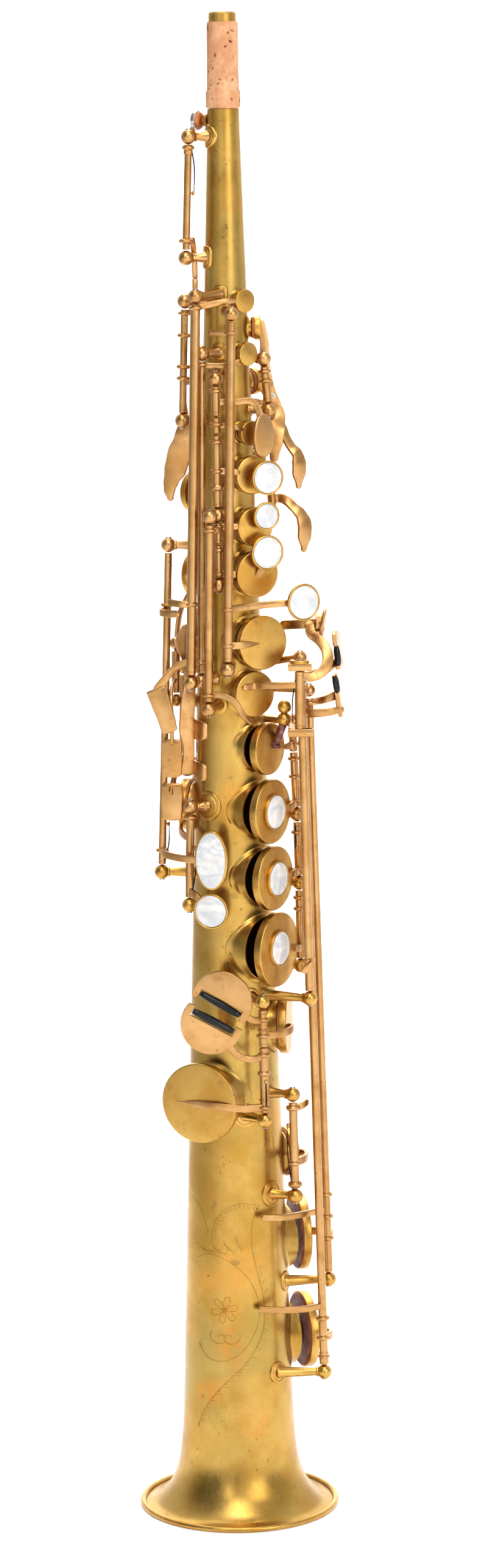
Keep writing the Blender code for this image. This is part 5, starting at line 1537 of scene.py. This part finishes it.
def rim_and_cork():
    """The wire in the bell rim, and the tenon cork with its pits."""
    bead = 1.3
    ring = [(RIM_R - bead + bead * cos(a), bead + bead * sin(a))
            for a in (2 * pi * k / 20 for k in range(20))]
    piece("bell_rim", "body", "brass", [lathe(Vector((0, 0, 0)), UP, ring, 180, closed=True)],
          ["bell_rim_ring"])

    low, high = CORK_LOW, CORK_HIGH
    sides, rows = 150, 96
    pits = []
    draws = dice(11)
    for _ in range(46):
        around = (next(draws) >> 8) % 3600 / 10
        z = low + 1 + (high - low - 2) * ((next(draws) >> 8) % 1000 / 1000) ** 1.25
        size = 0.3 + 0.5 * ((next(draws) >> 8) % 1000 / 1000) ** 2
        last = next(draws)
        pits.append((radians(around), z, size, radians((last >> 8) % 180), 1.3 + (last >> 4) % 10 / 8))

    def outer_r(z):
        """The cork's radius, with the collar at its foot and rounded ends."""
        t = (z - low) / (high - low)
        r = 7.45 if z < low + 7.3 else 6.9 - 0.3 * (t - 0.2)
        if low + 7.0 <= z < low + 7.6:
            r = 7.45 + (6.88 - 7.45) * (z - low - 7.0) / 0.6
        r -= 0.5 * max(0.0, 1 - (high - z) / 0.8) + 0.3 * max(0.0, 1 - (z - low) / 0.5)
        return r

    rings, marks = [], []
    for i in range(rows + 1):
        z = low + (high - low) * i / rows
        ring = []
        for k in range(sides):
            a = 2 * pi * k / sides
            r = outer_r(z)
            pit = 0.0
            for pa, pz, size, lean, longer in pits:
                da = (a - pa + pi) % (2 * pi) - pi
                x, y = da * r, z - pz
                if abs(x) > 2.5 or abs(y) > 2.5:
                    continue
                u = (x * cos(lean) + y * sin(lean)) / (size * longer)
                v = (-x * sin(lean) + y * cos(lean)) / size
                pit = max(pit, 1 - (u * u + v * v))
            pit = max(0.0, min(1.0, pit * 1.8))
            ring.append(Vector((cos(a) * (r - 0.35 * pit), sin(a) * (r - 0.35 * pit), z)))
            marks.append(pit)
        rings.append(ring)
    inner = TENON_R + 0.05
    for z in (high, low):
        turns = [2 * pi * k / sides for k in range(sides)]
        rings.append([Vector((cos(a) * inner, sin(a) * inner, z)) for a in turns])
        marks += [0.0] * sides
    sleeve = bridge(rings, closed=True)
    ob = piece("tenon_cork_sleeve", "body", "cork", [sleeve], ["tenon_cork"], 50)
    layer = ob.data.attributes.new("pit", "FLOAT", "POINT")
    layer.data.foreach_set("value", marks)


def thumb_pieces():
    """The thumb rest, the thumb hook and the strap ring, all at the back."""
    n = out(-130)
    c = pol(-130, body_r(457.7) + 0.1, 457.7)
    cup = [(0, -0.6), (4.2, -0.4), (3.6, 4.2), (9.2, 4.8), (9.2, 7.6), (8.5, 7.6), (8.5, 6.8), (0, 6.8)]
    piece("thumb_rest_cup", "body", "brass", [lathe(c, n, rounded(cup, 0.2), 56)],
          ["thumb_rest_base"])
    dome = [(8.3 * cos(radians(a)), 1.1 + 1.7 * sin(radians(a))) for a in range(10, 90, 10)]
    button = [(0, 0), (8.3, 0), (8.3, 1.1)] + dome + [(0, 2.8)]
    piece("thumb_rest_button", "body", "black", [lathe(c + n * 6.86, n, button, 56)],
          ["thumb_rest_pad"])

    z = 292.0
    rb = body_r(z)
    outline = [(7 * x, 13 * y) for x, y in (squarish(1, 1, 5)(2 * pi * i / 48) for i in range(48))]
    foot = plate(pol(180, rb + 1.2, z), out(180), outline, 1.6, 0.4)
    bend = [pol(180, rb + far, z + rise) for far, rise in ((1.6, 3), (9, 5), (20, 3.5), (27, -4), (29, -13))]
    hook = sweep(bend, 11.0, 2.2, Vector((1, 0, 0)), round_ends=(0.05, 0.2), crown=0.2)
    heads = []
    for dz in (-9.5, 9.5):
        heads += slotted_head(pol(180, rb + 2.0, z + dz), out(180), 1.9, 0.7)
    piece("right_thumb_hook", "body", "brass", [foot, hook], ["thumb_hook"])
    piece("right_thumb_hook_screws", "body", "steel", heads)

    z = 345.0
    rb = body_r(z)
    foot = plate(pol(180, rb + 1.2, z), out(180), oval(5.5, 9.0), 1.6, 0.4)
    stem = lathe(pol(180, rb + 1.4, z), out(180), [(0, 0), (3.0, 0), (2.2, 1.2), (2.2, 3.4), (0, 3.6)], 28)
    hoop = [(5.6 + 1.0 * cos(a), 1.0 * sin(a)) for a in (2 * pi * k / 16 for k in range(16))]
    piece("neck_strap_ring", "body", "brass",
          [foot, stem, lathe(pol(180, rb + 9.6, z), Vector((1, 0, 0)), hoop, 64, closed=True)],
          ["strap_ring"])


def key_guard():
    """The wavy guard plate beside the side keys."""
    wave = [(-74, 21.4, 399.5), (-75, 24.0, 393.7), (-74, 21.4, 386.0), (-73, 20.6, 378.0),
            (-74, 22.4, 364.0), (-74, 23.0, 355.0), (-73, 21.4, 346.0), (-74, 22.6, 336.0)]
    web = [pol(p, body_r(z) + 0.9 + (r - body_r(z)) * 0.5, z) for p, r, z in wave]
    widths = [r - body_r(z) - 1.0 for p, r, z in wave]
    blade = sweep(web, widths, 1.5, out(-74), edge=0.35, round_ends=(0.3, 0.3))
    shells = [blade]
    for z in (355.0, 336.5):
        shells.append(flange(-68, z, 6.5, 1.6, groove=False, outline=squarish(6.4, 4.5, 5)))
    piece("side_key_guard_plate", "body", "rose", shells, ["side_key_guard"])


def engraving():
    """A generic scroll on the bell: wriggle-cut borders, a plain leaf spray and a small rosette."""
    lines = []

    def ribbon(points, width=0.26):
        """A shallow bright-cut line that follows the brass. Points are (side, height)."""
        left, right = [], []
        for i, (x, z) in enumerate(points):
            x0, z0 = points[max(i - 1, 0)]
            x1, z1 = points[min(i + 1, len(points) - 1)]
            d = hypot(x1 - x0, z1 - z0) or 1.0
            nx, nz = -(z1 - z0) / d * width / 2, (x1 - x0) / d * width / 2
            taper = min(1.0, 0.35 + i / 3, 0.35 + (len(points) - 1 - i) / 3)
            left.append((x + nx * taper, z + nz * taper))
            right.append((x - nx * taper, z - nz * taper))
        rings = []
        for (lx, lz), (rx, rz) in zip(left, right):
            rings.append([on_body(-8, 90, lx, lz - 90, -0.05), on_body(-8, 90, lx, lz - 90, 0.035),
                          on_body(-8, 90, rx, rz - 90, 0.035), on_body(-8, 90, rx, rz - 90, -0.05)])
        lines.append(bridge(rings))

    def curve(points, per=14):
        return [(p.x, p.y) for p in spline([Vector((x, z, 0)) for x, z in points], per)]

    def wriggle(path, pitch=0.55, swing=0.26):
        """The zigzag that a rocked graver leaves along a path."""
        made, walked, sign = [], 0.0, 1
        for (x0, z0), (x1, z1) in zip(path, path[1:]):
            d = hypot(x1 - x0, z1 - z0)
            while walked <= d:
                t = walked / d
                nx, nz = -(z1 - z0) / d, (x1 - x0) / d
                made.append((x0 + (x1 - x0) * t + nx * swing * sign,
                             z0 + (z1 - z0) * t + nz * swing * sign))
                sign = -sign
                walked += pitch
            walked -= d
        return made

    def hatch(path, length, lean, step=3, width=0.16):
        """Short shading strokes off a path."""
        for i in range(2, len(path) - 2, step):
            (x0, z0), (x1, z1) = path[i], path[i + 1]
            d = hypot(x1 - x0, z1 - z0) or 1.0
            tx, tz = (x1 - x0) / d, (z1 - z0) / d
            reach = length * (0.65 + 0.35 * sin(i * 1.7))
            dx, dz = (tx * cos(lean) - tz * sin(lean)) * reach, (tx * sin(lean) + tz * cos(lean)) * reach
            ribbon([(x0 + dx * 0.15 * j, z0 + dz * 0.15 * j) for j in range(1, 7)], width)

    border = curve([(13, 144), (10, 136), (9.5, 126), (12, 112), (14.5, 98), (13.5, 84), (7, 72), (-3, 62),
                    (-12, 50), (-16, 40)])
    ribbon(wriggle(border), 0.2)
    hatch(border[40:], 4.2, radians(140), 2)
    oval_line = curve([(-16, 118), (-10, 121), (-2, 119), (6, 113), (11, 104), (12.6, 94), (10, 84),
                       (4, 76), (-4, 72.6), (-11, 74), (-15, 80)])
    ribbon(wriggle(oval_line, 0.5, 0.18), 0.18)
    leaf = curve([(12, 143.5), (4, 144.5), (-3, 141), (-7.5, 134), (-8.5, 126)])
    ribbon(wriggle(leaf, 0.5, 0.18), 0.18)
    hatch(leaf, 4.6, radians(125), 2)
    for x, z, reach, way in ((-8.5, 126, 9, -60), (-3, 128, 8, -75), (3, 130, 8, -95), (-14, 124, 8, -40)):
        vein = [(x + reach * t * cos(radians(way + 30 * t)), z + reach * t * sin(radians(way + 30 * t)))
                for t in (i / 10 for i in range(11))]
        ribbon(vein, 0.2)
        hatch(vein, 2.4, radians(40), 1, 0.13)
        hatch(vein, 2.4, radians(-40), 1, 0.13)
    side = curve([(-20, 146), (-15, 143), (-11.5, 136), (-9.8, 128)])
    ribbon(wriggle(side, 0.5, 0.16), 0.16)
    cx, cz = -2.5, 96.0
    for i in range(6):
        a0 = radians(60 * i + 15)
        petal = []
        for j in range(19):
            t = j / 18
            rho = 6.2 * sin(pi * t) ** 0.8
            a = a0 + radians(24) * cos(pi * t)
            petal.append((cx + rho * cos(a), cz + rho * sin(a)))
        ribbon(petal, 0.22)
        ribbon([(cx + r * cos(a0), cz + r * sin(a0)) for r in (1.4, 2.6, 3.8, 4.8)], 0.16)
    ribbon([(cx + 1.0 * cos(radians(20 * j)), cz + 1.0 * sin(radians(20 * j))) for j in range(19)], 0.22)
    for sign in (-1, 1):
        scroll = []
        for j in range(34):
            t = j / 33
            a = radians(90 - sign * 40 - sign * 400 * t)
            rho = 5.2 * (1 - t) ** 0.9 + 0.5
            scroll.append((cx + sign * 2.2 + rho * cos(a) * 0.9, cz - 12.5 + rho * sin(a) * 0.7))
        ribbon(scroll, 0.2)
    piece("bell_engraving", "body", "cut", lines, sharp=60)


def fixed_pieces():
    """Everything that was gathered for the body."""
    for group, finish in (("feet", "brass"), ("posts", "brass"), ("upper_posts", "rose"),
                          ("brass_heads", "brass"), ("screws", "steel"), ("springs", "blued")):
        piece("body_" + group, "body", finish, Fixed.shells[group])


# ---------------------------------------------------------------- stage

def stage():
    """Paper floor with a painted dark patch on its left and a painted glow in front, lit backdrop, a soft
    room and the lights.
    """
    def sheet_of(name, profile, half_width, finish):
        """A sheet of paper that follows a profile of (y, z) pairs in metres."""
        me = bpy.data.meshes.new(name)
        bm = bmesh.new()
        rows = [[bm.verts.new((x, y, z)) for x in (-half_width, half_width)] for y, z in profile]
        for a, b in zip(rows, rows[1:]):
            bm.faces.new((a[0], a[1], b[1], b[0]))
        bm.to_mesh(me)
        bm.free()
        me.shade_smooth()
        me.materials.append(finish)
        placed(name, me)

    paper = Surface("pale_paper_painted_shade_and_glow", Specular_IOR_Level=0.1)
    white = paper.mix(paper.span(paper.noise(3, 2), 0.3, 0.7), (0.93, 0.93, 0.93), (0.95, 0.95, 0.95))
    split = paper.nodes.new("ShaderNodeSeparateXYZ")
    paper.links.new(paper.space, split.inputs[0])
    # painted shade: left of the instrument the floor is darkened towards grey, a dark patch that the metal
    # reflects as a dark band
    shade = paper.calc("MULTIPLY", paper.span(split.outputs["X"], -0.8, -0.22, 0.8, 0.0),
                       paper.span(split.outputs["Y"], -1.4, -0.6))
    paper.color(paper.mix(shade, white, (0.22, 0.22, 0.22)))
    # painted glow: the floor glows, strongly in front of the instrument and faintly near it, and lights the
    # metal like a lamp
    paper.bsdf.inputs["Emission Color"].default_value = (1, 1, 1, 1)
    paper.put(paper.bsdf.inputs["Emission Strength"], paper.span(split.outputs["Y"], -2.6, -0.8, 1.1, 0.12))
    paper.rough(0.9)
    sheet_of("studio_floor", [(-8.0, 0.0), (8.0, 0.0)], 8.0, paper.mat)
    glow = Surface("lit_backdrop", Emission_Strength=0.85)
    glow.color(glow.mix(glow.span(glow.noise(2, 2), 0.3, 0.7), (0.90, 0.90, 0.90), (0.92, 0.92, 0.92)))
    glow.bsdf.inputs["Emission Color"].default_value = (1, 1, 1, 1)
    glow.rough(0.9)
    bend = [(1.6 + 1.0 * sin(radians(a)), 0.002 + 1.0 - 1.0 * cos(radians(a))) for a in range(0, 91, 6)]
    sheet_of("studio_backdrop", bend + [(2.6, 2.4)], 1.3, glow.mat)

    world = bpy.data.worlds.new("studio")
    bpy.context.scene.world = world
    world.use_nodes = True
    nodes, links = world.node_tree.nodes, world.node_tree.links
    sky = nodes["Background"]
    sky.inputs[0].default_value = (0.96, 0.97, 1.0, 1)
    split = nodes.new("ShaderNodeSeparateXYZ")
    links.new(nodes.new("ShaderNodeTexCoord").outputs["Generated"], split.inputs[0])
    total = nodes.new("ShaderNodeMath")
    for slot, axis, low, high, dim, bright in (
        (0, "X", -0.9, 0.6, 0.2, 0.6),
        (1, "Y", -0.15, 0.35, 0.0, 0.65),
    ):
        room = nodes.new("ShaderNodeMapRange")
        links.new(split.outputs[axis], room.inputs["Value"])
        for key, value in (("From Min", low), ("From Max", high), ("To Min", dim), ("To Max", bright)):
            room.inputs[key].default_value = value
        links.new(room.outputs["Result"], total.inputs[slot])
    links.new(total.outputs[0], sky.inputs[1])

    def softbox(name, at, look, size, watts, tint=(1, 1, 1)):
        """A rectangular lamp at one point, turned to another."""
        light = bpy.data.lights.new(name, "AREA")
        light.shape = "RECTANGLE"
        light.size, light.size_y = size
        light.energy = watts
        light.color = tint
        ob = placed(name, light)
        at = Vector(at)
        aim = (Vector(look) - at).to_track_quat("-Z", "Y")
        ob.matrix_world = Matrix.Translation(at) @ aim.to_matrix().to_4x4()

    softbox("overhead_front", (0, -1.5, 2.3), (0, -1.3, 0), (1.0, 2.2), 36)
    softbox("overhead_back", (0, 1.3, 2.4), (0, 1.2, 0), (1.0, 2.0), 46)
    softbox("front_softbox", (1.7, -2.6, 1.5), (0, 0, 0.4), (1.5, 1.7), 35, (1.0, 0.98, 0.95))
    softbox("left_softbox", (-1.0, -3.0, 1.6), (0, 0, 0.4), (0.5, 1.3), 9, (1.0, 0.98, 0.95))


def camera():
    """A long lens from just above the height of the tenon, looking a little down."""
    pitch, roll, lens = radians(10.13), 0.01166, 107.93
    eye = Vector((0.0032, -2.037, LENGTH * MM + 0.0284))
    look = Vector((0, cos(pitch), -sin(pitch)))
    down = Vector((0, -sin(pitch), -cos(pitch)))
    right = Vector((1, 0, 0))
    x = (right + down * roll).normalized()
    y = -(down - right * roll).normalized()
    cam = bpy.data.cameras.new("product_camera")
    cam.lens, cam.sensor_width, cam.clip_start = lens, 36.0, 0.05
    ob = placed("product_camera", cam)
    ob.matrix_world = Matrix((
        (x.x, y.x, -look.x, eye.x),
        (x.y, y.y, -look.y, eye.y),
        (x.z, y.z, -look.z, eye.z),
        (0, 0, 0, 1),
    ))
    bpy.context.scene.camera = ob
    bpy.context.scene.view_settings.view_transform = "Standard"


camera()
stage()
octave_keys()
palm_keys()
upper_stack()
long_front_rods()
side_keys()
lower_stack()
right_little_finger()
left_little_finger()
body_tube()
rim_and_cork()
thumb_pieces()
key_guard()
engraving()
fixed_pieces()
